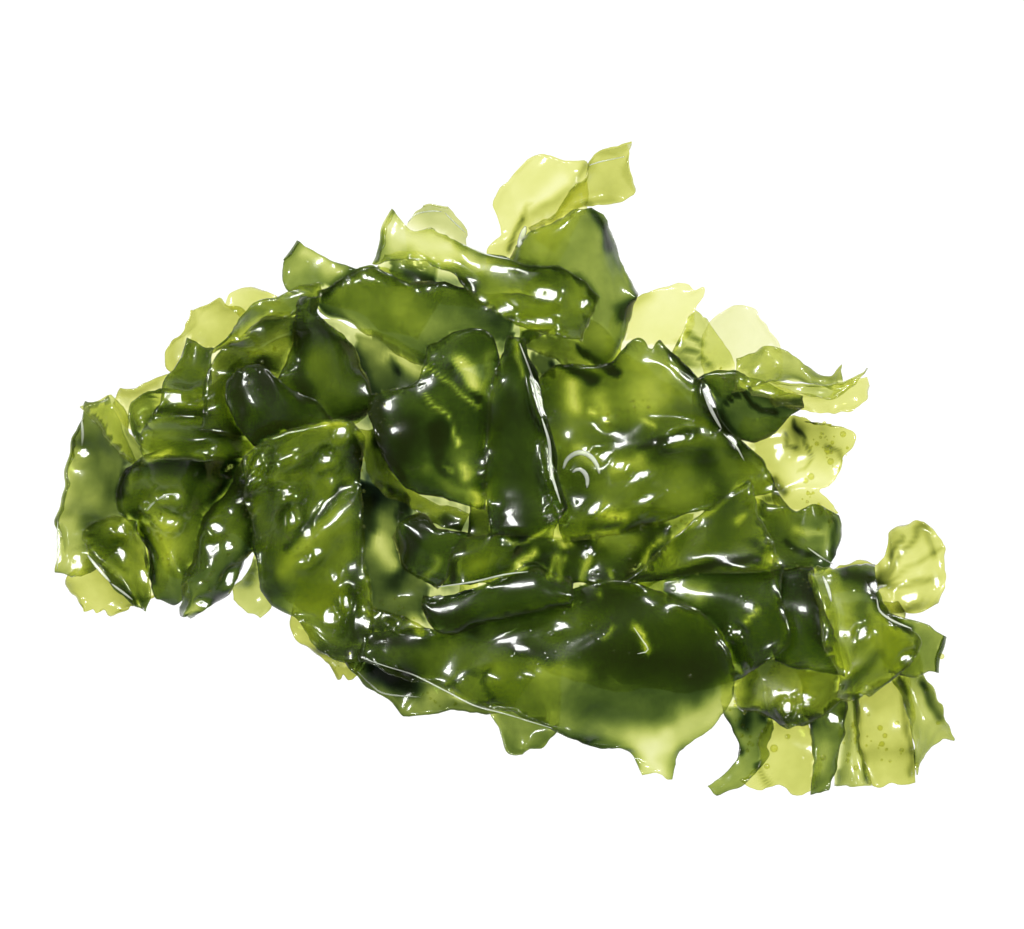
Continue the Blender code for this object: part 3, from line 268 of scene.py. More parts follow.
def draw_fan():
    """The pale fan and the lobes at the far right."""
    frond(
        "fan_right", "pale", 0.62, 0.4,
        [(54, -21), (59.6, -20.6), (64.3, -22.8), (67.5, -24.3), (70.8, -24.1), (73.6, -22.2)],
        [(54, -16.4), (60, -15.4), (62.4, -15.6), (63.9, -14), (64.6, -12), (65, -9.7), (67.2, -9.8),
         (68.4, -8.6), (71, -8)],
        lift=(2, 3, 4), bulge=(0, 1.5), scallops=(4, 1.3), ruffle=1.6, crumple=0.9, grid=1.8,
        ridges=[((62, -19.4), (73.6, -19.2), -1.8, 1.3), ((62.6, -18), (69.8, -9.6), 1.5, 1.3),
                ((63, -18.6), (73, -13.6), 1.2, 1.3)],
    )
    frond(
        "lobe_curled_far_right", "mid", 2.4, 0.5,
        [(63, -33.6), (67, -34), (70, -33.4), (72, -33.7)],
        [(63, -24), (67, -24.8), (70, -25.9), (74.1, -28.3)],
        lift=(1, 2, 3), roll=(150, 1.5), crumple=0.8,
    )
    frond(
        "lobe_front_right", "bright", 2.9, 0.15,
        [(41, -21), (39.6, -31), (37.8, -38.6), (41, -40.4), (44.6, -42.5)],
        [(55, -21), (56.6, -31), (57.8, -37), (54.4, -39.4), (50, -42.5)],
        lift=(0, 1.5, 2), bulge=(0, 0.5), cup=-0.9, crumple=0.7, ruffle=0.3,
    )
    frond(
        "sheet_dark_front_right", "dark", 6.4, 0.2,
        [(41, -17), (42.4, -23), (43.6, -28), (45, -32)],
        [(51.6, -16.4), (53.2, -23), (54.7, -28.5), (56.4, -34)],
        lift=(0, 1, 1), bulge=(0, 0.4), ruffle=0.8, crumple=1.0,
    )
    frond(
        "lobe_big_right", "mid", 2.45, 0.0,
        [(51.6, -15.6), (50, -18.2), (51.4, -22), (52.2, -26), (54, -30.4), (56, -34), (54.6, -38.2)],
        [(61.6, -15.7), (62.2, -21), (64.7, -24.9), (68, -26.9), (69.7, -29.5), (68.2, -32.2),
         (64.9, -35)],
        lift=(2, 3, 2), bulge=(0, 1.6), scallops=(4, 1.2), ruffle=1.0, crumple=0.6, hems=(0, 80),
        hem_radius=0.9, grid=2.8,
        ridges=[((58.6, -20), (57.6, -36), -1.6, 1.8), ((62, -22), (68, -27), 1.6, 1.5),
                ((54.4, -17), (55.4, -26), 1.5, 2.0)],
    )


def draw_top_fringe():
    """The lobes that stand out at the photograph's top."""
    frond(
        "lobe_pale_top", "pale", 0.42, 0.4,
        [(-2, 32), (-3, 36.6), (-1.4, 38.8), (-1.2, 40.4), (-1.9, 43), (-0.6, 46.5), (1, 48.7), (3, 50.2)],
        [(9, 33), (12, 40), (13.4, 46), (13.9, 50.6)],
        lift=(0, 3, 6), bulge=(0, 1.6), scallops=(3, 1.0), cup=1.6, crumple=1.1, grid=2.4,
        ridges=[((0.4, 36), (3.6, 44), 2.0, 1.2), ((3.6, 44), (7.8, 50.6), 2.0, 1.2)],
    )
    frond(
        "lobe_folded_top", "pale", 0.8, 0.4,
        [(3.6, 40), (8, 43), (11, 46), (13, 48.9), (14.2, 51.4), (15.9, 53.2), (18.4, 53.9), (20.6, 54.2)],
        [(8, 36), (10.6, 41.8), (13, 43.6), (16, 44.2), (19, 44.2), (21.2, 45.6), (20.9, 49), (20, 52)],
        lift=(1, 4, 8), cup=1.3, hems=(115, 0), hem_radius=1.0, crumple=0.9, ruffle=0.9, grid=2.2,
    )
    frond(
        "curl_clear_top", "pale", 0.7, 0.5,
        [(-17, 34), (-16, 39.5), (-15.6, 42), (-13.4, 43.6)],
        [(-5, 34), (-7, 39.4), (-8.5, 42.2), (-9.6, 43.6)],
        lift=(0, 2, 4), roll=(120, 1.3), crumple=0.7,
    )
    frond(
        "sheet_curled_upper_left", "mid", 2.2, 0.5,
        [(-14, 22), (-26, 26), (-33, 28.4), (-36.4, 30.4), (-36.2, 34.6)],
        [(-10, 30), (-20, 33.6), (-25, 33.9), (-30, 36.1), (-34.2, 38)],
        lift=(0, 3, 5), roll=(140, 1.5), crumple=1.2,
    )
    frond(
        "lobe_dark_under_ribbon", "mid", 2.0, 0.15,
        [(4, 26), (-6, 26.6), (-13, 28.6), (-18, 30.8), (-21.8, 33.4)],
        [(4, 32), (-5, 33.2), (-9, 35), (-14, 36.6), (-20, 36)],
        lift=(0, 2, 2), crumple=1.2, ruffle=1.0, ridges=[((-16, 33), (-8, 32.4), 1.6, 1.6)],
    )
    frond(
        "drape_top", "mid", 2.2, 0.2,
        [(3, 21), (8, 19), (12, 17), (16, 16.2), (18.8, 17), (19.6, 20.6), (19.9, 24.6), (21.7, 28.4)],
        [(0, 35), (3.4, 38.4), (6, 40.6), (10, 42), (13.6, 44), (16, 40.6), (18, 37), (20.2, 33),
         (22.2, 29.9)],
        lift=(1, 3, 2), cup=-1.5, crumple=1.2,
    )
    frond(
        "sheet_wide_upper", "mid", 3.7, 0.15,
        [(-31.2, 27.8), (-28, 25.2), (-24, 23), (-19, 20.2), (-15.4, 17.8), (-10, 16), (-4, 17.4),
         (2, 20), (7, 22.6)],
        [(-30.6, 29.2), (-28.2, 31.2), (-25.6, 33.2), (-22.3, 34.2), (-18, 31.6), (-12, 31), (-3, 30.2),
         (10, 27.6)],
        lift=(2, 3, 1), crumple=1.4, hems=(-100, 0), hem_radius=1.2,
        ridges=[((-27, 28.6), (-10, 27), 0.9, 2.4), ((-14, 23), (-4, 21), -0.9, 2.0)],
    )
    frond(
        "ribbon_top", "mid", 3.1, 0.15,
        [(15.2, 28.4), (13, 31.2), (10, 33.6), (7, 35.2), (3, 34.6), (0, 35), (-4, 36.7), (-7, 38.1),
         (-11, 39.4), (-15, 40.8), (-18.6, 43.4)],
        [(13, 21.5), (8, 22), (4, 23), (0, 24.6), (-4, 28), (-8, 32), (-12, 34.4), (-15, 35.3), (-18, 35),
         (-21.6, 33.8)],
        lift=(2, 3, 6), roll=(150, 1.6), hems=(105, 0), hem_radius=1.1, crumple=1.3, cup=1.0,
        ridges=[((1, 24.8), (10, 24.6), 1.2, 1.7), ((4, 30), (10, 28), 1.3, 2.8)],
    )


def draw_left_blades():
    """The overlapping blades at the left."""
    frond(
        "blade_far_left", "bright", 2.6, 0.6,
        [(-70.8, 11.2), (-71.9, 4.6), (-73.6, -3), (-75, -8.7), (-75.4, -13), (-75.2, -17.4)],
        [(-65.6, 11.4), (-61.5, 4), (-59.4, -3), (-60.4, -9), (-65.5, -14), (-71.2, -18)],
        lift=(4, 3, 1), hems=(150, 0), hem_radius=1.0, crumple=1.4, ruffle=0.8,
    )
    frond(
        "strip_folded_left", "bright", 1.3, 0.3,
        [(-70.5, 11), (-66.5, 6), (-63, 2.4), (-58.9, 0.2)],
        [(-66, 11.9), (-63, 7.8), (-60.4, 4.2), (-58.2, 0.9)],
        lift=(2, 2, 1), cup=-0.9, crumple=0.6, ruffle=0.3,
    )
    frond(
        "lobe_curled_left", "mid", 2.2, 0.6,
        [(-53, 13), (-58, 13.2), (-60.6, 12.2), (-61.7, 9.8), (-61.3, 7.2), (-59.8, 5), (-57.6, 2.6)],
        [(-50, 8), (-54, 7.6), (-57, 8.4), (-58.4, 8.4), (-58, 7.2), (-56, 5.6), (-54, 3.4)],
        lift=(1, 2, 3), cup=1.2, hems=(95, 0), hem_radius=0.9, crumple=0.8,
    )
    frond(
        "blade_mid_left", "mid", 3.6, 0.6,
        [(-42, 5), (-50, 4.4), (-57, 3.4), (-61.4, 1.4), (-63.9, -1.6), (-63.8, -5.6), (-61.4, -10),
         (-59.6, -16)],
        [(-39, -3), (-44.6, -7), (-48.4, -11), (-51, -15.6), (-52.5, -18.6), (-52.8, -20.6), (-54.4, -23),
         (-58, -21.2)],
        lift=(1, 2, 1), crumple=1.4, ruffle=0.9, hems=(80, 0), hem_radius=1.2,
        ridges=[((-58.5, -6.5), (-55, -4.4), 1.5, 1.6), ((-55, -4.4), (-51.5, -7), 1.5, 1.6),
                ((-56.5, -8.6), (-55.4, -8.9), 2.2, 2.2), ((-62, 0), (-46, -1.4), -1.5, 1.6)],
    )
    frond(
        "cup_low_left", "mid", 2.6, 0.3,
        [(-64.6, -8), (-68.4, -8.2), (-70.2, -10.4), (-70, -13), (-68.4, -15.4), (-65, -19),
         (-61.6, -22.2)],
        [(-61, -8.2), (-60, -11), (-59.4, -14), (-58.7, -17), (-58.4, -20), (-59.8, -22.9)],
        lift=(1, 1, 2), cup=2.0, crumple=0.9, hems=(115, 0), hem_radius=1.0, ruffle=0.4,
    )
    frond(
        "blade_upper_left", "mid", 3.0, 0.6,
        [(-60, 2), (-59.4, 7), (-57.4, 11), (-56.2, 15), (-54.5, 17), (-54, 19.8), (-52.7, 21.6)],
        [(-42, 2), (-44, 9), (-48.4, 14), (-48.6, 17.4), (-48, 20.4)],
        lift=(1, 2, 3), bulge=(0, -0.6), crumple=1.4, cup=1.0,
        ridges=[((-55.5, 11.6), (-50, 12.2), 1.8, 1.5), ((-49.6, 12.4), (-48.8, 17.4), 1.8, 1.4),
                ((-58, 9.6), (-50, 9.4), -1.5, 1.3)],
    )
    frond(
        "sheet_bubbly_left", "bright", 3.4, 0.9,
        [(-49.6, 6), (-49.2, 13), (-47.6, 18.6), (-43.4, 22.6), (-38, 25.6)],
        [(-32, 6), (-33.6, 14), (-33.4, 21), (-32, 26.6)],
        lift=(0, 1, 1), crumple=1.2, ruffle=0.7,
    )
    frond(
        "leaf_narrow_rimmed", "mid", 2.3, 0.5,
        [(-48.9, 19.2), (-46, 20.2), (-43, 22), (-40, 24), (-36.8, 25.7), (-34, 26.3), (-30.6, 27.6)],
        [(-48.5, 20.2), (-47.2, 21.8), (-45.6, 22.6), (-44.8, 24.6), (-43, 26.6), (-41, 28.2), (-37, 29),
         (-34, 30.3), (-31.1, 31.5)],
        lift=(0, 2, 4), hems=(125, 60), hem_radius=1.0, crumple=0.8, ruffle=0.4,
    )
    frond(
        "lobe_round_left", "mid", 4.5, 0.2,
        [(-34, 29), (-34.2, 24), (-34.8, 20), (-36.6, 16.6), (-38.8, 13), (-37, 8)],
        [(-30.8, 28.6), (-31, 24.6), (-28.4, 23.3), (-25.4, 21.2), (-23, 16.8), (-22, 12.6), (-23.2, 9),
         (-26.4, 6.8)],
        lift=(4, 3, 1), bulge=(0, 0.8), cup=-1.3, crumple=0.7, grid=2.8,
        ridges=[((-33, 28), (-34.5, 17), 1.6, 1.6), ((-36, 12), (-30, 10), 1.0, 2.4)],
    )
    frond(
        "sheet_dark_left", "dark", 7.6, 0.3,
        [(-42, 4.4), (-38.5, 4.4), (-35, 5.6), (-31, 7.4), (-28.4, 6.8)],
        [(-46, 11), (-45, 15.4), (-41.6, 17.8), (-38.4, 15.8), (-36, 13.4), (-32.2, 12.3), (-30.2, 9.2)],
        lift=(0, 1, 0), bulge=(0.8, 0), crumple=0.8, ruffle=0.3, grid=2.6,
        ridges=[((-43.4, 14), (-38.4, 8), 1.7, 1.4), ((-40.6, 15), (-36, 10), -1.2, 1.3)],
    )
    frond(
        "lobe_pointed_low_left", "mid", 4.4, 1.0,
        [(-43, 2), (-47, -4.6), (-50, -10.2), (-52.4, -14.6), (-53.3, -18), (-53, -21), (-53.3, -24)],
        [(-37, 1), (-38.6, -6), (-40.6, -12), (-43.4, -16.4), (-45.4, -19.6), (-47.8, -22.6), (-51, -24.9)],
        lift=(1, 3, 2), cup=-2.0, crumple=1.2, hems=(-80, 0), hem_radius=1.1,
    )
    frond(
        "drape_glossy_left", "mid", 3.7, 0.5,
        [(-43.8, 2), (-43, -4), (-42.2, -10), (-41.8, -15.4), (-39.4, -20.6), (-36.6, -24.4), (-33.4, -27),
         (-30.4, -31)],
        [(-25, 8.4), (-23.6, 4), (-23.6, -4), (-23, -12), (-22.6, -20), (-22.4, -26), (-24, -32)],
        lift=(2, 3, 1), bulge=(1.6, 0), crumple=1.7, hems=(-70, 0), hem_radius=1.2,
        ridges=[((-43, 0), (-41, 3), 1.8, 1.8), ((-36, 2.6), (-29.8, 1.4), 1.9, 1.7),
                ((-38, -3.6), (-34.4, -4), 1.6, 1.6), ((-27, -3), (-38, -16), -1.7, 1.5),
                ((-26.5, -7), (-34, -14), 1.8, 1.6), ((-28, -12), (-27, -26), -1.4, 1.7),
                ((-24.8, -14), (-26, -27), 1.5, 1.6)],
    )


def draw_centre():
    """The dark folded blades over the middle."""
    frond(
        "strip_hollow_pale", "bright", 1.5, 0.4,
        [(-24.4, 7), (-22.4, -0.6), (-19.4, -3.8), (-16.4, -6), (-12.6, -8.6), (-7, -10.4)],
        [(-21.4, 6), (-19.4, 2.6), (-17.4, -1), (-13.6, -4), (-9, -6), (-5, -7.6)],
        lift=(0, 1, 1), crumple=0.7, ruffle=0.3,
    )
    frond(
        "frond_dark_centre", "dark", 6.5, 0.3,
        [(-12.6, 20.4), (-15.2, 15), (-22.2, 12), (-22, 5.6), (-19.2, 1), (-16.4, -2.6)],
        [(-1.6, 22.2), (-0.6, 12), (-1.2, 4), (-2, -2), (-3.4, -6.8)],
        lift=(2, 3, 1), bulge=(2.0, 0.4), crumple=1.4,
        ridges=[((-13, 18), (-4.4, 10.6), 2.2, 1.3), ((-13.4, 14), (-9, 8.6), 1.7, 1.1),
                ((-9, 8.6), (-7.6, 4), 1.7, 1.1), ((-12, 0), (-5.4, -5.4), 1.7, 1.5)],
    )
    frond(
        "leaf_dark_hollow", "dark", 5.4, 0.4,
        [(-18.8, -10.6), (-17.6, -14.4), (-15.4, -17.6), (-11, -19.6)],
        [(-16.6, -7.4), (-12.8, -7.4), (-9.6, -10), (-4, -11.4)],
        lift=(0, 1, 1), cup=-1.2, crumple=0.8, ruffle=0.4,
    )
    frond(
        "fold_centre_low", "mid", 5.2, 0.6,
        [(-10, -19.6), (-4, -19.6), (3, -17.6), (8, -19), (14, -18.8), (22, -20), (29, -17)],
        [(-8, -11), (0, -10), (6, -9), (11, -8), (16, -7), (24, -6), (32, -8)],
        lift=(0, 2, 0), crumple=1.2,
        ridges=[((-1, -12), (9, -13), 1.7, 1.5), ((8.4, -12), (8.6, -19), 1.6, 1.5),
                ((18, -12), (24, -12), 1.4, 1.6)],
    )
    frond(
        "sheet_big_right", "mid", 3.8, 0.5,
        [(10, -12.4), (7.6, -5), (5.6, 4), (5, 12), (8, 16.6), (12, 17.4), (17.4, 17.6), (19.8, 21)],
        [(45.4, -4), (45, -1), (41, 3), (37.2, 6.6), (34.4, 11.6), (31.6, 16.6), (28.4, 20.4)],
        lift=(1, 3, 3), scallops=(2, 2.2), crumple=1.5, hems=(0, 125), hem_radius=1.2,
        ridges=[((11, 1), (12.6, 3.2), 1.9, 1.6), ((12.6, 3.2), (15.4, 0), 1.9, 1.6),
                ((11.4, -0.6), (13.8, -3), 1.8, 1.5), ((16, 3), (22, 2.6), 2.0, 1.9),
                ((20.8, -2), (24.6, 0.2), 1.8, 1.6), ((21.6, -7), (25, -5), 1.7, 1.5),
                ((13, -8), (16, -6.6), 1.6, 1.5), ((25, 4.2), (33, 6.6), 1.7, 1.8)],
    )
    frond(
        "blade_tall_centre", "dark", 6.8, 0.2,
        [(0, 22.4), (-2.3, 14), (-3.4, 4), (-3.2, -4), (-1.2, -11.4)],
        [(3, 21.6), (5.4, 15), (7.4, 7), (8.6, 0), (10.2, -6), (7.4, -11.6)],
        lift=(3, 4, 1), crumple=1.0, cup=1.4, hems=(0, 140), hem_radius=1.2, ruffle=0.3,
    )
    frond(
        "sheet_lower_right", "dark", 6.6, 0.2,
        [(13, -33), (22, -36), (30, -37), (38, -35), (44, -32), (47, -29)],
        [(12, -19), (18, -19.6), (25, -18.4), (31, -16.4), (37, -15.2), (46, -15.4)],
        lift=(0, 2, 1), crumple=1.4, ruffle=0.4,
    )
    frond(
        "sheet_pointed_right", "mid", 4.3, 0.4,
        [(19, -19), (23.6, -14.2), (30, -9.4), (39.4, -2.2)],
        [(46.4, -15.8), (44.2, -12), (42, -7.4), (40.6, -3)],
        lift=(0, 2, 2), crumple=1.2, ruffle=0.4, ridges=[((38, -8), (41, -7.6), 1.5, 1.5)],
    )
    frond(
        "sheet_front", "mid", 5.4, 0.2,
        [(-24.4, -31.2), (-17, -33.9), (-10, -37), (-5, -39.5), (0, -40.8), (8, -43.2), (15, -45.6),
         (20, -47), (22, -48.6), (22.5, -51.7)],
        [(-23, -27), (-14, -26.4), (-5, -25), (5, -21), (15, -18.6), (24, -19.4), (33.6, -25), (38.4, -33),
         (37.4, -39.6), (32.4, -44.6), (29, -47.2), (28.2, -51.7)],
        lift=(1, 2, 0), crumple=1.3, hems=(60, 0), hem_radius=1.2, ruffle=0.4,
        ridges=[((-8, -36), (-4, -31.8), 1.2, 1.4), ((-2, -38), (1, -33), 1.2, 1.5),
                ((2, -30), (13, -33), 1.5, 1.6), ((2, -34.6), (8, -34.4), 1.4, 1.8),
                ((8, -26.6), (11.4, -25), 1.5, 1.4), ((15, -29), (18.6, -26), 1.7, 1.5),
                ((22, -26), (24, -30.6), 1.9, 1.5)],
    )
    frond(
        "lobe_long_front_centre", "dark", 7.2, 0.2,
        [(12, -22.6), (3, -24.4), (-3, -26.2), (-7, -28.1), (-10.4, -27), (-13.8, -23.8)],
        [(12, -18), (6, -16.3), (2, -17), (-3, -19), (-8, -20.4), (-13.6, -21)],
        lift=(1, 2, 2), crumple=1.0, hems=(0, 100), hem_radius=1.2, cup=-1.0, ruffle=0.3,
    )


def eased(share):
    """A share from 0 to 1 with a smooth start and end."""
    return share * share * (3 - 2 * share)


def noise(x, y, kind, seed):
    """A smooth random field from -1 to 1 of one kind of unevenness."""
    length, shift, own_seed = kind
    table = np.random.default_rng(seed + own_seed).uniform(-1, 1, (NOISE_SIDE, NOISE_SIDE))
    x, y = x / length + shift, y / length + shift
    column = np.floor(x).astype(int)
    row = np.floor(y).astype(int)
    across, along = eased(x - column), eased(y - row)
    left, right = column % NOISE_SIDE, (column + 1) % NOISE_SIDE
    below, above = row % NOISE_SIDE, (row + 1) % NOISE_SIDE
    low = table[below, left] * (1 - across) + table[below, right] * across
    high = table[above, left] * (1 - across) + table[above, right] * across
    return low * (1 - along) + high * along


def smooth_line(points, per_span=12):
    """The polyline drawn as a smooth curve through the same points, evenly spaced along its length."""
    line = np.array(points, float)
    ends = np.vstack([2 * line[0] - line[1], line, 2 * line[-1] - line[-2]])
    parts = []
    for before, start, stop, after in zip(ends, ends[1:], ends[2:], ends[3:]):
        t = np.linspace(0, 1, per_span, endpoint=False)[:, None]
        bend = 2 * before - 5 * start + 4 * stop - after
        twist = 3 * start - 3 * stop + after - before
        parts.append(start + 0.5 * t * (stop - before + t * (bend + t * twist)))
    curve = np.vstack(parts + [line[-1:]])
    steps = np.hypot(*np.diff(curve, axis=0).T)
    along = np.concatenate([[0], np.cumsum(steps)])
    return curve, along / along[-1], along[-1]


def rolled(degrees, radius):
    """Offsets in from the edge and heights of a rolled edge, from the flat part to the free end."""
    if degrees == 0:
        return np.zeros(1), np.zeros(1)
    count = int(np.ceil(abs(degrees) / TURN))
    angle = np.radians(np.linspace(0, abs(degrees), count + 1))
    inset = radius * (np.sin(min(np.pi / 2, angle[-1])) - np.sin(angle))
    height = np.sign(degrees) * radius * (1 - np.cos(angle))
    return inset, height


def distance_to(x, y, start, stop):
    """Distance of points from a straight fold."""
    dx = stop[0] - start[0]
    dy = stop[1] - start[1]
    share = ((x - start[0]) * dx + (y - start[1]) * dy) / (dx * dx + dy * dy)
    share = np.clip(share, 0, 1)
    return np.hypot(x - start[0] - share * dx, y - start[1] - share * dy)


def spread_across(shape, widths, u, grid):
    """Places across a blade, 0 at its left edge and 1 at its right, and the heights of its rolled edges."""
    radius = min(shape.get("hem_radius", HEM_RADIUS), widths.mean() / HEM_WIDTHS)
    hem_left, hem_right = shape.get("hems", (0, 0))
    left_inset, left_height = rolled(hem_left, radius)
    right_inset, right_height = rolled(hem_right, radius)
    columns = max(3, round(widths.mean() / grid))
    count = columns + len(left_inset) + len(right_inset) - 1
    last_full = HEM_LASTS - HEM_ROOM * ("roll" in shape)
    wide = np.interp(u, np.linspace(0, 1, len(widths)), widths)
    flat = np.linspace(0, 1, count)
    t = np.empty((len(u), count))
    height = np.zeros_like(t)
    for i in range(len(u)):
        open_share = np.clip(min(u[i] / HEM_OPENS, (last_full + HEM_CLOSES - u[i]) / HEM_CLOSES), 0, 1)
        size = min(1.0, wide[i] / (HEM_WIDTHS * radius))
        first = left_inset[::-1] * size / wide[i]
        last = 1 - right_inset * size / wide[i]
        middle = np.linspace(first[-1], last[0], columns + 1)[1:-1]
        t[i] = open_share * np.concatenate([first, middle, last]) + (1 - open_share) * flat
        height[i, : len(first)] = left_height[::-1] * size * open_share
        height[i, -len(last):] += right_height * size * open_share
    return t, height


def own_height(shape, seed, x, y, u, t, length):
    """Height of a blade above what it lies on: its lift, cup, ruffle, crumples and folds."""
    height = np.interp(u, (0, 0.5, 1), shape.get("lift", (0, 0, 0)))[:, None] + np.zeros_like(t)
    side = np.clip(2 * t - 1, -1, 1)
    height = height + shape.get("cup", 0) * side**2
    phase = np.where(side > 0, SIDE_PHASE, 0.0) + seed + PHASE_WANDER * noise(x, y, PHASES, seed)
    wave = np.sin(2 * np.pi * length / WAVE_LENGTH * u[:, None] + phase)
    height = height + shape.get("ruffle", RUFFLE) * np.abs(side) ** EDGE_POWER * wave
    crumples = COARSE * noise(x, y, CRUMPLES, seed) + FINE * noise(x, y, FINE_CRUMPLES, seed)
    height = RELIEF * (height + shape.get("crumple", CRUMPLE) * crumples)
    for start, stop, rise, width in shape.get("ridges", ()):
        height = height + rise * np.exp(-((distance_to(x, y, start, stop) / width) ** 2))
    return height


def drawn(shape, seed, grid):
    """x, y and own height of a blade's middle: rows from start to tip, columns from left to right."""
    left, left_share, left_length = smooth_line(shape["left"])
    right, right_share, right_length = smooth_line(shape["right"])
    length = (left_length + right_length) / 2
    even = np.linspace(0, 1, WIDTH_PLACES)
    lefts = np.stack([np.interp(even, left_share, left[:, k]) for k in (0, 1)], axis=1)
    rights = np.stack([np.interp(even, right_share, right[:, k]) for k in (0, 1)], axis=1)
    widths = np.maximum(np.hypot(*(lefts - rights).T), LEAST_WIDTH)

    roll_degrees, roll_radius = shape.get("roll", (0, 1))
    roll_inset, roll_height = rolled(roll_degrees, roll_radius)
    rows = max(3, round(length / grid))
    flat_rows = np.linspace(0, 1 - roll_inset[0] / length, rows + 1)
    u = np.concatenate([flat_rows[:-1], 1 - roll_inset / length])
    u_height = np.concatenate([np.zeros(rows), roll_height])
    t, t_height = spread_across(shape, widths, u, grid)

    edges = []
    for line, share in ((left, left_share), (right, right_share)):
        edges.append(np.stack([np.interp(u, share, line[:, k]) for k in (0, 1)], axis=-1)[:, None, :])
    place = edges[0] * (1 - t[..., None]) + edges[1] * t[..., None]

    out_start = (lefts[0] + rights[0] - lefts[2] - rights[2]) / 2
    out_tip = (lefts[-1] + rights[-1] - lefts[-3] - rights[-3]) / 2
    bulge_start, bulge_tip = shape.get("bulge", (0, 0))
    round_side = (1 - (2 * t - 1) ** 2)[..., None]
    near_start = np.clip(1 - u / END_SHARE, 0, 1)[:, None, None] ** 2
    near_tip = np.clip(1 - (1 - u) / END_SHARE, 0, 1)[:, None, None] ** 2
    place = place + bulge_start * out_start / np.hypot(*out_start) * round_side * near_start
    waves, depth = shape.get("scallops", (0, 0))
    scallop = depth * (np.abs(np.sin(np.pi * waves * t)) - SCALLOP_MEAN)[..., None]
    place = place + (bulge_tip * round_side + scallop) * out_tip / np.hypot(*out_tip) * near_tip

    x, y = place[..., 0], place[..., 1]
    height = own_height(shape, seed, x, y, u, t, length) + t_height + u_height[:, None]
    rim = np.maximum(np.abs(2 * t - 1) ** RIM_POWER, (np.clip(2 * u - 1, 0, 1) ** RIM_POWER)[:, None])
    moved = []
    for k, along in enumerate((x, y)):
        notch = NOTCH * rim * noise(x, y, NOTCHES, seed + k)
        moved.append(along + WANDER * noise(x, y, WANDERS, seed + k) + notch)
    return moved[0], moved[1], height


def triangles(rows, columns):
    """Corner numbers of a grid's triangles, all split along the same diagonal."""
    corner = np.arange(rows * columns).reshape(rows, columns)
    a, b = corner[:-1, :-1].ravel(), corner[:-1, 1:].ravel()
    c, d = corner[1:, 1:].ravel(), corner[1:, :-1].ravel()
    return np.concatenate([np.stack([a, d, c], 1), np.stack([a, c, b], 1)])


def normals(middle):
    """The upward directions of a middle surface."""
    found = np.cross(np.gradient(middle, axis=1), -np.gradient(middle, axis=0))
    return found / np.maximum(np.linalg.norm(found, axis=-1, keepdims=True), TINY)


def sheet_solid(middle, thickness):
    """Points and triangles of the closed sheet round a middle surface, with its upper side first."""
    rows, columns = middle.shape[:2]
    count = rows * columns
    normal = normals(middle)
    points = np.vstack([(middle + side * normal * thickness / 2).reshape(-1, 3) for side in (1, -1)])
    upper = triangles(rows, columns)
    corner = np.arange(count).reshape(rows, columns)
    rim = np.concatenate([corner[0, :-1], corner[:-1, -1], corner[-1, :0:-1], corner[:0:-1, 0]])
    after = np.roll(rim, -1)
    walls = [np.stack([rim, after, after + count], 1), np.stack([rim, after + count, rim + count], 1)]
    return points, np.concatenate([upper, upper[:, ::-1] + count] + walls)


def blurred(field, spread):
    """The field blurred over neighbouring cells."""
    reach = int(np.ceil(BLUR_REACH * spread))
    weights = np.exp(-0.5 * (np.arange(-reach, reach + 1) / spread) ** 2)
    weights /= weights.sum()
    for axis in (0, 1):
        before, after = field.take([0] * reach, axis), field.take([-1] * reach, axis)
        padded = np.concatenate([before, field, after], axis)
        count = field.shape[axis]
        field = sum(w * padded.take(range(k, k + count), axis) for k, w in enumerate(weights))
    return field


def grown(field, cells):
    """Each cell takes the highest value of its neighbours, so many times over."""
    for _ in range(cells):
        for axis in (0, 1):
            field = np.maximum(field, np.maximum(np.roll(field, 1, axis), np.roll(field, -1, axis)))
    return field


def smooth_above(need):
    """A smooth field that is nowhere below need."""
    field = np.maximum(need, 0)
    for spread, times in SMOOTHING:
        for _ in range(times):
            field = np.maximum(blurred(field, spread), need)
    return field


class Pile:
    """The height map of the blades laid so far."""

    def __init__(self):
        self.columns = int(2 * HALF_X / RASTER)
        self.rows = int(2 * HALF_Y / RASTER)
        self.top = np.zeros((self.rows, self.columns))

    def cells(self, x, y):
        """Rows and columns of the cells that points lie in."""
        column = np.clip(((x + HALF_X) / RASTER).astype(int), 0, self.columns - 1)
        row = np.clip(((y + HALF_Y) / RASTER).astype(int), 0, self.rows - 1)
        return row, column

    def window(self, x, y, margin=12):
        """The cells round a blade: the first row and column, and the part of the map that starts there."""
        row, column = self.cells(x, y)
        low = (max(row.min() - margin, 0), max(column.min() - margin, 0))
        high = (min(row.max() + margin, self.rows), min(column.max() + margin, self.columns))
        return low, self.top[low[0]: high[0], low[1]: high[1]]


def value_at(field, low, x, y):
    """The field read between the centres of its cells."""
    column = np.clip((x + HALF_X) / RASTER - 0.5 - low[1], 0, field.shape[1] - LAST_CELL)
    row = np.clip((y + HALF_Y) / RASTER - 0.5 - low[0], 0, field.shape[0] - LAST_CELL)
    c, r = column.astype(int), row.astype(int)
    across, along = column - c, row - r
    near = field[r, c] * (1 - across) + field[r, c + 1] * across
    far = field[r + 1, c] * (1 - across) + field[r + 1, c + 1] * across
    return near * (1 - along) + far * along


def samples_of(points, faces, steps):
    """Points spread evenly over triangles."""
    a, b, c = (points[faces[:, k]] for k in (0, 1, 2))
    found = []
    for i in range(steps + 1):
        for j in range(steps + 1 - i):
            found.append(a * (steps - i - j) / steps + b * i / steps + c * j / steps)
    return np.concatenate(found)


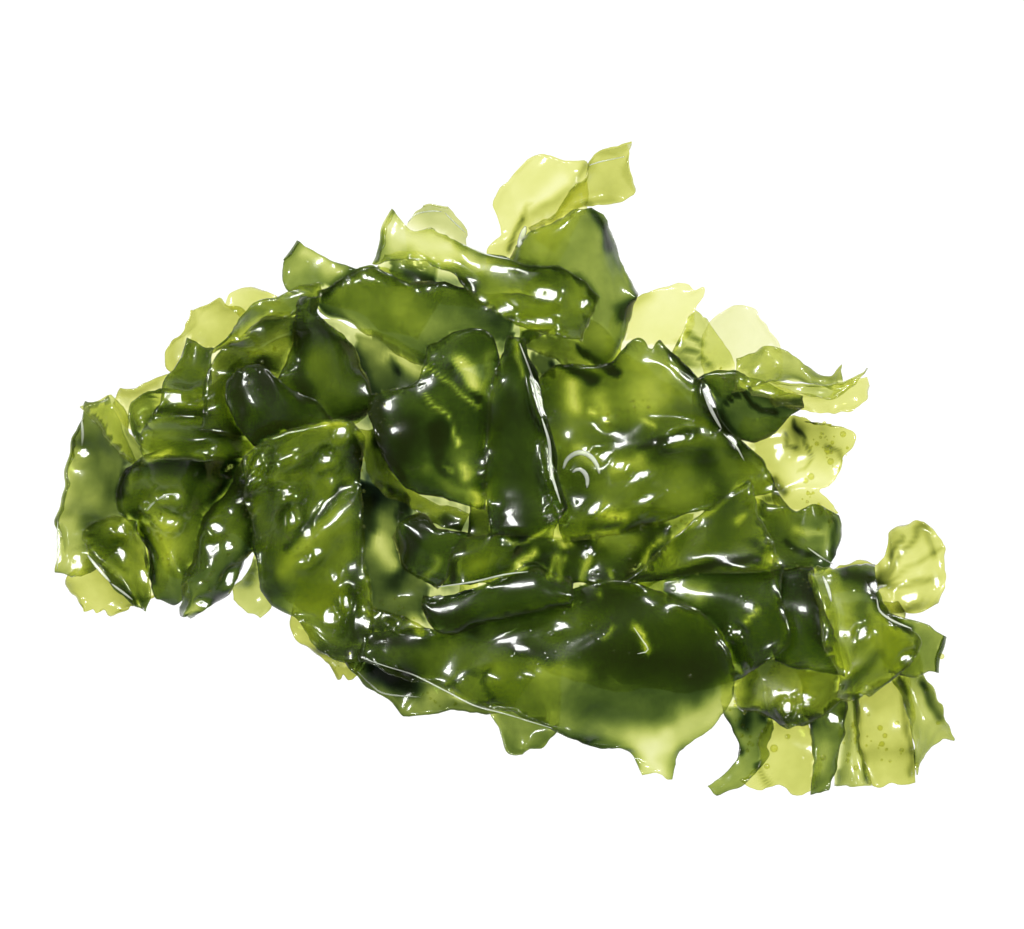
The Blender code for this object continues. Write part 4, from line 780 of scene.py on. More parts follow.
def lay(shape, seed, pile):
    """Lays a blade on the pile and returns its points and its middle surface."""
    grid = shape.get("grid", GRID)
    x, y, height = drawn(shape, seed, grid)
    low, top = pile.window(x, y)
    floor = grown(top, 1)
    need = np.full_like(floor, NOWHERE)
    field = np.zeros_like(floor)
    steps = int(np.ceil(SAMPLES * grid / RASTER))
    reach = int(np.ceil(SPREAD * grid / RASTER))
    for _ in range(TRIES):
        base = value_at(field, low, x, y)
        middle = np.stack([x, y, np.maximum(base + height, SHEET / 2)], axis=-1)
        points, faces = sheet_solid(middle, SHEET)
        upper, lower = np.split(points[:, 2], 2)
        points[:, 2] += np.tile(np.maximum(-np.minimum(upper, lower), 0), 2)
        spots = samples_of(points, faces, steps)
        row, column = pile.cells(spots[:, 0], spots[:, 1])
        row, column = row - low[0], column - low[1]
        short = np.where(floor[row, column] > 0, floor[row, column] + GAP - spots[:, 2], NOWHERE)
        if short.max() <= 0:
            break
        lack = np.full_like(floor, NOWHERE)
        wanting = short > 0
        np.maximum.at(lack, (row[wanting], column[wanting]), short[wanting])
        lack = grown(lack, reach)
        need = np.where(lack > 0, np.maximum(need, field + lack), need)
        field = smooth_above(need)
    if short.max() > 0:
        points[:, 2] += short.max()
        spots[:, 2] += short.max()
    np.maximum.at(top, (row, column), spots[:, 2])
    upper, lower = np.split(points, 2)
    return points, ((upper + lower) / 2).reshape(*x.shape, 3)


def facing_up(shape):
    """The blade with its edges swapped if that turns its drawn side up."""
    outline = np.array(list(shape["left"]) + list(shape["right"])[::-1], float)
    after = np.roll(outline, -1, axis=0)
    area = (outline[:, 0] * after[:, 1] - outline[:, 1] * after[:, 0]).sum()
    if area < 0:
        return shape
    hems = shape.get("hems", (0, 0))
    return {**shape, "left": shape["right"], "right": shape["left"], "hems": (hems[1], hems[0])}


FINER = 5  # steps of a visible blade for each step of its solid
THIN = 0.26  # thickness of a visible blade
CLEAR = 0.5  # least distance between the middles of two visible blades
FRAY = 0.22  # depth of the fine notches of its edge
FRILL = 0.35  # height of the fine waves of its edge
FRILL_WIDTH = 1.6  # width of the strip along the edge that has them
FRAY_WIDTH = 0.7  # and of the strip that is notched
LIFTS = 4  # most times a visible blade is lifted off those below it
SLACK = 0.02  # how far it may be too low without being lifted again
WILD = 0.6  # blades that ripple less than this are evened, the calmer the more often
EVENING = 60  # times that a blade without any ripples would be evened, over WILD
EVEN_FROM = 3  # distance from its edge from which a blade is fully evened
MOST_LIFT = 0.8  # how far evening may lift a blade


def finer(field, times):
    """The grid of points with more points between, on smooth curves through the old ones."""
    for axis in (0, 1):
        line = np.moveaxis(field, axis, 0)
        step = line[1:] - line[:-1]
        size = np.maximum(np.linalg.norm(step, axis=-1, keepdims=True), SHORTEST)
        slope = step / size
        inner = (slope[:-1] * size[1:] + slope[1:] * size[:-1]) / (size[1:] + size[:-1])
        tangent = np.concatenate([slope[:1], inner, slope[-1:]])
        parts = []
        for k in range(times):
            s = k / times
            parts.append(
                (2 * s**3 - 3 * s**2 + 1) * line[:-1]
                + (s**3 - 2 * s**2 + s) * size * tangent[:-1]
                + (3 * s**2 - 2 * s**3) * line[1:]
                + (s**3 - s**2) * size * tangent[1:]
            )
        between = np.stack(parts, axis=1).reshape(-1, *line.shape[1:])
        field = np.moveaxis(np.concatenate([between, line[-1:]]), 0, axis)
    return field


def edge_distance(middle):
    """Distance of each point from the nearest edge of its blade, along the blade."""
    across = np.linalg.norm(np.diff(middle, axis=1), axis=-1)
    along = np.linalg.norm(np.diff(middle, axis=0), axis=-1)
    left = np.pad(np.cumsum(across, axis=1), ((0, 0), (1, 0)))
    start = np.pad(np.cumsum(along, axis=0), ((1, 0), (0, 0)))
    return np.minimum.reduce([left, left[:, -1:] - left, start, start[-1:] - start])


def dressed(middle, shape, seed):
    """The finer middle surface with ripples, a frilled edge and fine notches, and the edge distances."""
    middle = finer(middle, FINER)
    edge = edge_distance(middle)
    x, y = middle[..., 0], middle[..., 1]
    push = FRILL * np.exp(-edge / FRILL_WIDTH) * noise(x, y, FRILLS, seed)
    for kind, rise in RIPPLES:
        push = push + shape["film"] * rise * noise(x, y, kind, seed)
    fray = FRAY * np.exp(-edge / FRAY_WIDTH)
    shift = np.stack([noise(x, y, FRAYS, seed), noise(x, y, FRAYS, seed + 1), 0 * x], axis=-1)
    return middle + push[..., None] * normals(middle) + fray[..., None] * shift, edge


def evened(z, edge, times):
    """The heights smoothed away from the blade's edges, and lifted so that none is lower than before."""
    level = z
    for _ in range(times):
        for axis in (0, 1):
            line = np.moveaxis(level, axis, 0)
            line = np.concatenate([line[:1], (line[:-2] + line[1:-1] + line[2:]) / 3, line[-1:]])
            level = np.moveaxis(line, 0, axis)
    change = (level - z) * eased(np.clip(edge / EVEN_FROM, 0, 1))
    return z + change + min(-change.min(), MOST_LIFT)


def settled(middle, pile, edge, ripple):
    """The middle surface lifted where it would touch the blades laid before it, and evened."""
    x, y, z = (middle[..., k].copy() for k in (0, 1, 2))
    low, top = pile.window(x, y)
    row, column = pile.cells(x, y)
    row, column = (row - low[0]).ravel(), (column - low[1]).ravel()
    for _ in range(LIFTS):
        lack = np.where(top[row, column] > 0, top[row, column] + CLEAR - z.ravel(), 0)
        if lack.max() <= SLACK:
            break
        need = np.full_like(top, NOWHERE)
        np.maximum.at(need, (row, column), np.where(lack > 0, lack, NOWHERE))
        z = z + value_at(blurred(smooth_above(grown(need, 1)), 1.0), low, x, y)
    z = evened(z, edge, max(0, round(EVENING * (WILD - ripple))))
    z = np.maximum(z, THIN)
    np.maximum.at(top, (row, column), z.ravel())
    return np.stack([x, y, z], axis=-1)


CAMERA_AT = (0.0, 0.0, 1430.0)  # near enough for the slopes of the gleams
# Turn from the photograph's right and rise in degrees, and the two sides in metres.
LAMPS = {
    "back": (95, 52, (0.16, 0.11)),
    "right": (20, 48, (0.11, 0.14)),
    "left": (170, 50, (0.10, 0.15)),
}
LAMP_FAR = 620.0  # distance of the soft boxes from the heap
LENS_HEIGHT = 8.0  # the height above the table at which the scale holds
GLEAM_MARGIN = 1.3  # how far a gleam's slope runs out beyond it
GLEAM_POINTS = 4  # fewest points of a blade that bear one
GLEAM_CURVE = 0.08  # change of its slope from side to side
GLEAM_RISE = 0.1  # how far it is raised
GLEAM_FULL = 1.5  # the higher, the more of its reach has its full slope
GLEAM_NEAR = 1.5  # square of the distance within which a blade below gives way


def lamp_place(name):
    """Where a soft box stands."""
    turn, rise = np.radians(LAMPS[name][:2])
    return LAMP_FAR * np.array([np.cos(turn) * np.cos(rise), np.sin(turn) * np.cos(rise), np.sin(rise)])


# The larger gleams of the water film: place, direction in degrees, length, width and the lamp that each
# one shows.
GLEAMS = [
    (-70.0, 6.2, 82, 6.0, 0.9, "left"), (-70.2, 2.6, 90, 1.6, 1.2, "left"),
    (-71.3, -15.0, 70, 2.2, 0.7, "left"), (-74.7, -12.5, 90, 6.5, 0.5, "left"),
    (-58.6, -5.8, 45, 2.6, 0.8, "back"), (-56.6, -4.5, 15, 2.2, 0.7, "back"),
    (-54.7, -4.3, 110, 1.5, 0.7, "right"), (-57.4, -7.6, 60, 1.4, 0.7, "back"),
    (-55.7, -8.7, 150, 2.2, 1.6, "back"), (-61.0, -6.4, 100, 2.8, 0.9, "left"),
    (-59.6, -10.2, 80, 2.4, 0.7, "left"), (-64.1, -10.0, 170, 1.2, 0.7, "back"),
    (-60.0, -17.8, 90, 1.8, 0.6, "left"), (-63.6, -14.2, 105, 3.4, 0.5, "left"),
    (-53.6, 11.7, 0, 4.6, 1.5, "back"), (-57.0, 12.7, 40, 1.4, 1.0, "back"),
    (-50.7, 12.7, 60, 1.3, 1.0, "right"), (-49.6, 14.8, 95, 3.0, 0.9, "right"),
    (-49.3, 2.8, 170, 2.8, 0.9, "back"), (-46.0, 0.3, 80, 1.2, 0.8, "right"),
    (-47.7, -9.8, 20, 1.8, 1.3, "back"), (-48.7, -13.4, 120, 1.6, 1.2, "left"),
    (-43.4, -11.2, 12, 2.4, 0.9, "back"), (-46.0, -12.7, 70, 1.4, 0.8, "right"),
    (-45.7, -18.2, 65, 3.4, 0.8, "right"), (-50.3, -22.4, 20, 1.8, 0.8, "right"),
    (-42.6, -5.8, 170, 1.8, 0.7, "back"), (-40.5, 0.6, 60, 3.2, 1.1, "left"),
    (-41.2, -1.7, 30, 1.6, 1.1, "back"), (-36.0, 2.2, 172, 4.0, 1.1, "back"),
    (-29.4, 1.4, 95, 4.0, 1.8, "back"), (-29.0, -1.8, 95, 2.4, 0.9, "right"),
    (-36.0, -3.9, 165, 4.0, 1.0, "back"), (-35.2, -8.0, 95, 2.6, 1.6, "left"),
    (-33.0, -10.6, 50, 2.0, 0.8, "right"), (-33.0, -15.2, 20, 2.8, 0.9, "back"),
    (-27.0, 6.2, 100, 2.2, 1.7, "back"), (-31.0, -13.6, 60, 2.0, 0.7, "right"),
    (-28.4, -18.0, 95, 2.0, 0.7, "right"), (-26.4, -22.0, 80, 2.2, 0.7, "right"),
    (-29.0, -24.6, 60, 1.8, 0.9, "left"), (-23.0, -25.4, 20, 1.6, 1.0, "back"),
    (-19.4, -24.4, 40, 2.0, 1.2, "back"), (-17.6, -25.8, 150, 1.4, 0.9, "left"),
    (-16.2, -20.9, 5, 3.0, 0.9, "back"), (-5.0, -18.4, 22, 9.0, 0.9, "back"),
    (-11.0, -20.6, 10, 3.0, 0.7, "back"), (17.6, 2.0, 170, 5.0, 1.4, "back"),
    (19.4, 0.6, 95, 1.8, 1.6, "back"), (23.0, -1.0, 35, 3.8, 1.1, "back"),
    (23.4, -5.2, 30, 3.8, 0.9, "back"), (15.0, -6.8, 35, 2.2, 1.0, "back"),
    (17.0, 8.2, 0, 1.0, 1.0, "back"), (28.6, 5.0, 25, 4.4, 0.7, "back"), (30.6, -7.8, 10, 1.6, 0.9, "back"),
    (14.0, -14.0, 70, 3.0, 0.9, "right"), (26.6, -10.4, 40, 2.4, 1.0, "back"),
    (5.4, 12.0, 105, 10.0, 0.8, "right"), (7.2, 1.0, 98, 9.0, 0.8, "right"),
    (8.6, -6.4, 108, 3.6, 0.8, "right"), (7.2, 29.0, 150, 4.4, 2.8, "back"),
    (5.6, 24.4, 178, 7.0, 0.7, "back"), (13.4, 27.4, 60, 2.0, 0.8, "right"),
    (59.6, -27.3, 80, 1.6, 1.1, "back"), (50.0, -38.2, 30, 3.4, 1.2, "right"),
    (47.0, -39.4, 40, 1.6, 1.0, "right"), (54.8, -41.5, 0, 1.1, 1.1, "right"),
    (38.5, -27.0, 20, 1.4, 1.0, "back"), (67.6, -21.2, 8, 2.6, 1.0, "back"),
    (66.8, -31.4, 50, 1.8, 0.9, "right"), (-1.6, -34.5, 160, 2.0, 0.9, "back"),
    (4.0, -34.0, 155, 2.4, 0.9, "back"), (3.0, -30.0, 10, 2.2, 0.6, "back"),
    (9.4, -26.3, 25, 3.4, 0.6, "back"), (62.2, -19.4, 130, 2.6, 1.0, "left"),
    (34.0, 12.0, 115, 5.0, 0.6, "right"), (38.0, 4.4, 130, 4.0, 0.6, "right"),
    (45.0, -3.4, 20, 2.0, 1.2, "back"), (44.6, -6.2, 20, 1.8, 1.0, "back"),
    (-14.0, 34.0, 150, 3.0, 0.7, "back"), (-31.0, 33.0, 130, 4.0, 0.6, "left"),
    (-22.0, 31.6, 165, 4.0, 0.6, "back"), (0.0, 26.6, 5, 3.0, 0.7, "back"),
]


def gleam_slope(x, y, lamp):
    """The slope at which a wet surface shows a lamp to the camera."""
    here = np.array([x, y, LENS_HEIGHT])
    to_lamp = lamp_place(lamp) - here
    to_camera = np.array(CAMERA_AT) - here
    half = to_lamp / np.linalg.norm(to_lamp) + to_camera / np.linalg.norm(to_camera)
    return -half[:2] / half[2]


def bear_gleams(blades):
    """Shapes the top blade at each gleam so that it turns to its lamp, and moves the blades below with it."""
    for x, y, degrees, length, width, lamp in GLEAMS:
        cosine, sine = np.cos(np.radians(degrees)), np.sin(np.radians(degrees))
        reach_along, reach_across = length / 2 + GLEAM_MARGIN, width / 2 + GLEAM_MARGIN
        found = []
        for blade in blades:
            dx, dy = blade[..., 0] - x, blade[..., 1] - y
            along, across = dx * cosine + dy * sine, dy * cosine - dx * sine
            share = 1 - (along / reach_along) ** 2 - (across / reach_across) ** 2
            inside = share > 0
            if inside.sum() >= GLEAM_POINTS:
                found.append((blade[..., 2][inside].mean(), blade, inside, dx, dy, along, across, share))
        if not found:
            continue
        level, top, inside, dx, dy, along, across, share = max(found, key=lambda one: one[0])
        slope = gleam_slope(x, y, lamp)
        bend = 0.5 * GLEAM_CURVE * (across**2 / width + along**2 / length)
        shift = level + slope[0] * dx + slope[1] * dy - bend + GLEAM_RISE - top[..., 2]
        pushed = (shift * eased(np.clip(share * GLEAM_FULL, 0, 1)))[inside]
        known = top[inside][:, :2]
        for _, blade, here, *_ in found:
            if blade is top:
                blade[..., 2][here] += pushed
            else:
                gaps = ((blade[here][:, None, :2] - known) ** 2).sum(axis=-1)
                sunk = np.minimum(pushed[gaps.argmin(axis=1)], 0)
                blade[..., 2][here] += np.where(gaps.min(axis=1) < GLEAM_NEAR, sunk, 0)
            blade[..., 2] = np.maximum(blade[..., 2], THIN)


# Painted shade along folds and creases, and painted glow at thin places, some of which stands in for
# highlights:
# width, natural logarithm of the change in depth, and the points of the line.
PAINTED_SHADE_LINES = [
    (2.2, 0.35, (-70, 5), (-66, -3)), (0.7, 0.9, (-63.7, -4), (-62.4, 0.8)),
    (1.9, -0.7, (-71.6, -9), (-72, -16)), (1.5, -0.5, (-71.4, 6), (-74, -8), (-74.6, -16)),
    (2.4, 0.5, (-69, -10), (-66, -13)), (2.4, 0.45, (-57, 1), (-48, 1)),
    (3.0, -0.35, (-56, -10), (-55.6, -13)), (0.9, 0.7, (-57.4, 9.8), (-50, 9.6)),
    (1.6, 0.5, (-53, 5), (-45, 6)), (1.2, 0.6, (-43.5, 9), (-44.5, 16)),
    (1.0, 0.6, (-61.6, -8), (-59.4, -13), (-58.8, -18)), (1.2, 0.5, (-66, -18), (-61, -22)),
    (1.4, 0.9, (-40, 17.6), (-39.2, 15)), (1.6, 0.6, (-34, 23), (-34.4, 18), (-33, 12)),
    (1.0, 0.4, (-31, 24), (-25, 20), (-22.4, 13)), (0.8, -0.9, (-30, 7.4), (-27, 7.9)),
    (1.5, 0.55, (-24.4, 4), (-24.2, -10), (-25, -27)), (0.7, 0.5, (-27, -3), (-36, -13)),
    (1.4, -0.35, (-28, -7), (-37, -17)), (2.0, 0.4, (-40, -14), (-38, -20)),
    (1.5, -0.3, (-38, -1), (-33, -1)), (1.2, 0.5, (-43, -2), (-41.6, -14)),
    (1.0, -0.8, (-50.8, -22.6), (-53, -23.6)), (0.8, 0.6, (-45, 2), (-50, -9)),
    (1.2, 0.8, (-42, -16.6), (-43, -19)), (1.2, 0.5, (-30, -30), (-24, -30.6)),
    (1.2, -0.8, (-19, 19), (-15, 16.5)), (1.9, -0.6, (-27, 24), (-22, 21), (-17, 18)),
    (0.7, 0.6, (-19, 18.4), (-18, 16.4)), (2.0, 0.25, (-14, 28), (-2, 25)),
    (1.0, 0.5, (-16, 32.6), (-6, 31)), (0.8, 0.5, (-25, 33), (-30, 29.6)),
    (0.9, -0.6, (-33, 36), (-28, 33)), (0.6, 0.5, (-9, 17), (-4, 11.4)),
    (0.35, -0.8, (-13.2, 17), (-8, 13.4), (-4.4, 10.2)),
    (1.2, -1.3, (-7.2, 17.8), (-5.8, 16.8), (-4.9, 14.4)), (2.2, -0.3, (-6, 17), (-4.6, 14)),
    (0.35, -0.9, (-13, 13), (-11.4, 10.8), (-9.3, 8.4), (-8.6, 6), (-7.8, 4.2)),
    (0.6, -0.8, (-8.2, 5), (-7.8, 4.2)), (0.7, -0.9, (-6.6, 0.4), (-6, -1.2)),
    (0.5, -0.7, (-10.2, 1), (-8.8, 0.2)), (0.8, -0.8, (-5, -4), (-4.5, -5.6)),
    (1.3, -0.4, (-12.4, 0), (-6, -4.6)), (1.7, -0.4, (-7, 1), (-4, -5)),
    (1.3, 1.0, (-21.4, 10.4), (-21, 5.4)), (0.8, 0.5, (-21, 4.6), (-17, -1.4)),
    (0.9, 0.7, (-19, -3), (-16.4, -5.4), (-17.6, -7.6)), (1.2, 0.6, (-22.4, -5), (-21.8, -10)),
    (1.6, -1.0, (-20.6, -12), (-18.6, -15.2)), (0.9, 0.9, (-10, -8.2), (-7.4, -9.4)),
    (0.35, 0.6, (3.2, -10.8), (2.4, -13.6)), (0.4, -0.8, (0, -11.8), (3, -12), (6.8, -10.2)),
    (0.9, -1.4, (4.8, -13.8), (2.6, -16)), (0.4, -0.8, (-5, -19.4), (4, -16.8)),
    (0.9, -1.1, (8.2, -10.6), (9.6, -12.4)), (0.5, -1.2, (10, -12.8), (11.6, -12.6)),
    (0.6, -0.8, (8.8, -14.4), (7.6, -18)), (0.5, -0.7, (9.9, -15), (8.9, -18.2)),
    (1.0, -0.5, (-11, -15), (-12.6, -17.6)), (1.8, -0.3, (-5, -16), (0, -15)),
    (0.5, 0.7, (-8.3, -15.8), (-8.3, -18)), (1.0, -1.0, (-14.8, -25), (-14.2, -27.6)),
    (1.3, 0.6, (-22, -28), (-14, -28.6)), (2.0, 0.4, (-12, -23), (-5, -26.6)), (3.2, 0.25, (1, 9), (2, -8)),
    (0.6, -0.6, (1.6, 20.6), (3.2, 16)), (0.7, 0.9, (8.4, 18), (11, 17), (15, 14.8)),
    (1.2, -1.1, (11.8, 10.8), (11.4, 13.8)), (0.5, -1.0, (14.4, 9.8), (15, 9.6)),
    (0.6, -0.8, (23.6, 8.2), (24.6, 7.4)), (3.2, -0.5, (23.6, 17), (25.4, 12)),
    (2.4, 0.4, (13, 0), (13, -4)), (0.7, -1.0, (16, -7.3), (20, -7.6)),
    (1.0, -0.5, (16.6, -5.4), (18.4, -6.4)), (0.5, 0.6, (14, -9.3), (25, -8.8)),
    (1.7, -0.7, (16.6, -11), (21.6, -12)), (0.7, -1.3, (26, -11.6), (23.4, -15)),
    (1.0, -0.4, (27, -13.4), (28, -15)), (0.8, -1.0, (14.2, -15), (13, -18.4)),
    (0.5, -1.0, (15.6, -20), (15.8, -20.6)), (0.6, -0.8, (17.8, -17.2), (18.2, -18)),
    (2.6, 0.4, (14, -20), (22, -21.6)),
    (0.7, 0.9, (21, -17.6), (26, -18), (31, -16.6), (36, -15.1), (44, -15.1)),
    (2.0, -0.8, (29.6, -19.2), (32.4, -20.2)), (0.6, -1.0, (40.6, -25), (42.4, -22.8)),
    (0.7, -1.9, (22, -26.4), (24, -30)), (0.4, -0.9, (16.4, -28), (18.4, -25.6)),
    (0.5, -0.8, (38.4, -8.4), (40, -7.8)), (0.9, -1.3, (43.8, -14.8), (44.8, -14.8)),
    (0.7, 0.5, (41.4, -12), (44, -14.4)),
    (1.3, 0.8, (29, 19), (31.4, 15.6), (34.2, 11), (36.6, 6.4), (39, 4)),
    (0.6, 0.5, (23, 4), (28, 5.2), (32, 6.6)), (0.5, -0.5, (39.4, -2.6), (33, -8), (27, -12)),
    (5.0, 0.5, (18, -30), (32, -33)), (1.9, -0.5, (8, -41.4), (16, -43.6), (21, -44.6)),
    (3.0, -1.7, (24.5, -46), (25.6, -51)), (2.6, -1.0, (28, -45), (34, -41.5), (37, -38)),
    (2.0, 0.9, (-22, -33), (-16, -36)), (1.6, -0.5, (-12, -37), (-7, -39)),
    (1.2, 0.4, (0, -28.4), (8, -31)), (1.6, -0.35, (6, -33), (13, -34)),
    (1.4, 0.4, (61, -18), (59.5, -24), (58.7, -29)), (0.8, 0.9, (61.8, -21), (62.6, -23.6), (67, -26)),
    (1.4, 0.4, (51, -19), (53.6, -28)), (1.2, 0.5, (62, -31), (57, -36)),
    (1.8, -0.3, (55.4, -19), (57, -26)), (0.5, 1.2, (30.6, 23), (32.8, 20.8)),
    (0.4, 1.1, (29, 22), (34.6, 17)), (0.5, 0.7, (37, 11.6), (39.6, 13), (43, 10), (45.4, 9.8)),
    (1.5, 0.7, (49, 3.8), (49.6, 7.2)), (0.8, 1.4, (45.8, -1.4), (46.8, -3.4)),
    (1.2, 0.9, (19, 26), (24, 29.6)), (0.6, 0.9, (64, -19.2), (72, -18.5)),
    (0.6, 0.8, (70.2, -10), (71.5, -14.5)), (1.8, 1.1, (57, -17.4), (61, -18.4)),
    (1.0, 0.8, (66, -23), (72, -23)), (2.6, -1.5, (-19, 41), (-11, 37)), (1.2, -0.6, (-9, 36.4), (-3, 34)),
    (0.9, 0.9, (3.4, 41.6), (9.4, 45.4), (12, 47.6), (13.8, 50.6)),
    (0.5, 1.3, (0.6, 36.6), (2.6, 41.4), (4.4, 44)), (0.8, 0.7, (13.8, 43.6), (16.2, 40), (17.6, 37)),
    (1.0, 0.2, (56.8, -41), (57.6, -46), (57, -51)), (1.2, -0.3, (53, -50), (54, -46)),
    (1.2, 0.7, (41, -36), (40.4, -43)), (0.8, 0.8, (70, -36), (72.4, -41)),
    (0.9, -0.6, (48.5, -10), (52.5, -10.6)), (0.4, 0.5, (46.8, -12.2), (49.8, -13.6), (52.6, -14.6)),
    (0.4, 0.3, (55, -8), (55, -15)), (0.6, -0.3, (53.6, -9), (54, -14.6)),
    (0.4, 0.9, (62.6, -18.4), (66.4, -11)), (0.5, 0.9, (63, -18.6), (69.6, -9.6)),
    (0.4, 0.7, (63.4, -18.8), (73, -13)), (0.8, 0.6, (64.6, -14), (65.4, -10.4)),
    (0.6, 0.8, (58.6, -38), (59.4, -45), (60.6, -52)), (1.2, 0.3, (61.4, -47.6), (67.6, -47)),
    (0.6, 0.8, (66.2, -35), (67.6, -41), (68.2, -46), (68.6, -51)), (0.8, 0.9, (36.8, -40.6), (39.6, -47)),
    (0.5, 0.9, (42.6, -49.6), (45, -54)), (1.6, 0.6, (44, -41), (51, -41.6)),
    (2.2, 0.5, (49, 6.4), (51, 3.6)), (1.6, 0.5, (53, 6.4), (55, 3)), (2.8, -0.8, (50, -1), (54, -3)),
    (0.35, 0.9, (48.6, 8.2), (50.6, 5.2), (51.3, 2), (51, 0.4), (49.4, 0)),
    (0.3, 0.9, (54, 4), (56.4, 3), (57, 1)), (0.3, 0.8, (47.4, 6.5), (47.2, 4), (49, 3.6)),
    (0.8, -1.1, (-58.6, 1.7), (-55.4, 2.6)), (2.6, 0.6, (-22, 3), (-21, -5)),
    (1.8, 0.7, (-14, -8), (-18, -19)), (2.4, 0.5, (-16, 8), (-17, 2)), (1.6, 0.6, (-11, 7), (-10.6, 0)),
    (1.4, -0.5, (-2.2, 19), (-2.6, 12)), (1.4, 0.6, (-13, -9), (-6, -9.4)), (1.6, 0.5, (14, 20), (18, 17)),
    (0.6, 0.9, (12.4, 20.4), (15.6, 17.4), (19, 16)), (2.6, -0.5, (-16, 38), (-6, 35.6)),
    (2.0, -0.6, (-19.4, 41), (-18, 37)), (2.2, 0.7, (-18, 32.4), (-6, 31.4)),
    (1.0, 0.6, (12, 32), (15, 28.6)), (1.6, 0.4, (4, 33), (10, 31)), (2.6, -0.35, (24, 12), (27, 16)),
    (2.0, 0.5, (33, 2), (37, -4)), (2.2, 0.4, (20, 6), (26, 3)), (1.2, -0.6, (18.6, 0.6), (23, 1.4)),
    (1.4, -0.6, (17, 9), (16, 12)), (1.2, -0.7, (12.4, 3.6), (14.6, 1.6)), (3.4, -0.3, (-6, -33), (8, -37)),
    (0.4, 0.35, (-2.4, -33.4), (-3.6, -35.6), (-2, -38.4)),
    (0.4, 0.3, (-3.4, -34), (-6, -33.4), (-9.6, -36.6)), (2.2, -0.4, (39.6, -35), (41, -38)),
    (3.0, -0.45, (18, -43), (27, -45.4), (35, -40)), (2.2, -0.7, (24.6, -47.6), (25.2, -51)),
    (2.6, -0.35, (-57, -8), (-56, -14)), (2.2, -0.6, (-41, 19.6), (-37, 20.6)),
    (1.5, -0.9, (4, 43), (10, 48)), (1.4, 0.4, (-19.6, 19.4), (-17.6, 16.6)),
]
FOLD_SHADE_GAIN = 1.2  # how much stronger the painted dark lines are than written
GLOW = 1.2  # and the painted glowing ones
WARP = 0.55  # how far these lines waver
PAINTED_SHADE_REACH = 2.3  # widths to each side that a line reaches

# How plainly a blade shows those below it.
SEEN_THROUGH = {"pale": 1.0, "bright": 0.3, "mid": 0.12, "dark": 0.05}
DENSE = ("lobe_front_right",)  # bright, yet it shows as little of them as a mid one
HIDDEN_WEIGHT = 0.2  # share of its depth that a blade keeps where another covers it
HIDDEN_EDGE = 1.3  # width over which a covered blade fades to nothing at its edge
NOOK_SHADE = 0.6  # painted shade: how much darker a blade is made in a nook between higher ones
NOOK_FROM = 1.0  # how much higher they are where that starts
NOOK_DEPTH = 4.0  # and how fast it grows with their height
RIM_FADE = 0.16  # how much paler a blade is along its very edge
RIM_WIDTH = 1.3  # width of that paler strip
COVER = 0.9  # a blade this much higher starts to cover one, and as much again hides it
LEAST_DEPTH = 0.05  # of what lies in a cell, when the depths are shared out
MOST_GAIN = 1.3  # most that a depth is raised by then
CELL_BLUR = 0.6  # spread in cells of the mean of a cell
ROOF_BLUR = 1.5  # spread in cells of the height round a blade, and the cells that it looks at
ROOF_CELLS = 3
STEEPEST = 0.5  # least upward part of a normal for which the light's path through a blade still grows
PATH_POWER = 0.9  # how strongly a steep blade lengthens that path


def painted_shade_gain(x, y):
    """Natural logarithm of the change in depth at the listed lines of painted shade and glow."""
    warped_x, warped_y = x + WARP * noise(x, y, WARPS, 0), y + WARP * noise(x, y, WARPS, 1)
    gain = np.zeros_like(x)
    for width, strength, *points in PAINTED_SHADE_LINES:
        line = np.array(points, float)
        reach = PAINTED_SHADE_REACH * width + WARP
        low, high = line.min(axis=0) - reach, line.max(axis=0) + reach
        near = np.flatnonzero((x > low[0]) & (x < high[0]) & (y > low[1]) & (y < high[1]))
        if not len(near):
            continue
        spot_x, spot_y = warped_x[near], warped_y[near]
        away = np.minimum.reduce([distance_to(spot_x, spot_y, *ends) for ends in zip(line, line[1:])])
        gain[near] += strength * (FOLD_SHADE_GAIN if strength > 0 else GLOW) * np.exp(-((away / width) ** 2))
    return gain


def spread_map(pile, x, y, values):
    """The mean of the values round each cell, and where there are any."""
    total = np.zeros_like(pile.top)
    count = np.zeros_like(pile.top)
    np.add.at(total, pile.cells(x, y), values)
    np.add.at(count, pile.cells(x, y), 1.0)
    here = -grown(-grown((count > 0).astype(float), 1), 1) > 0
    return blurred(total, CELL_BLUR) / np.maximum(blurred(count, CELL_BLUR), FEWEST), here


def seen_through(shape):
    """How plainly a blade shows those below it."""
    return SEEN_THROUGH["mid" if shape["name"] in DENSE else shape["tone"]]


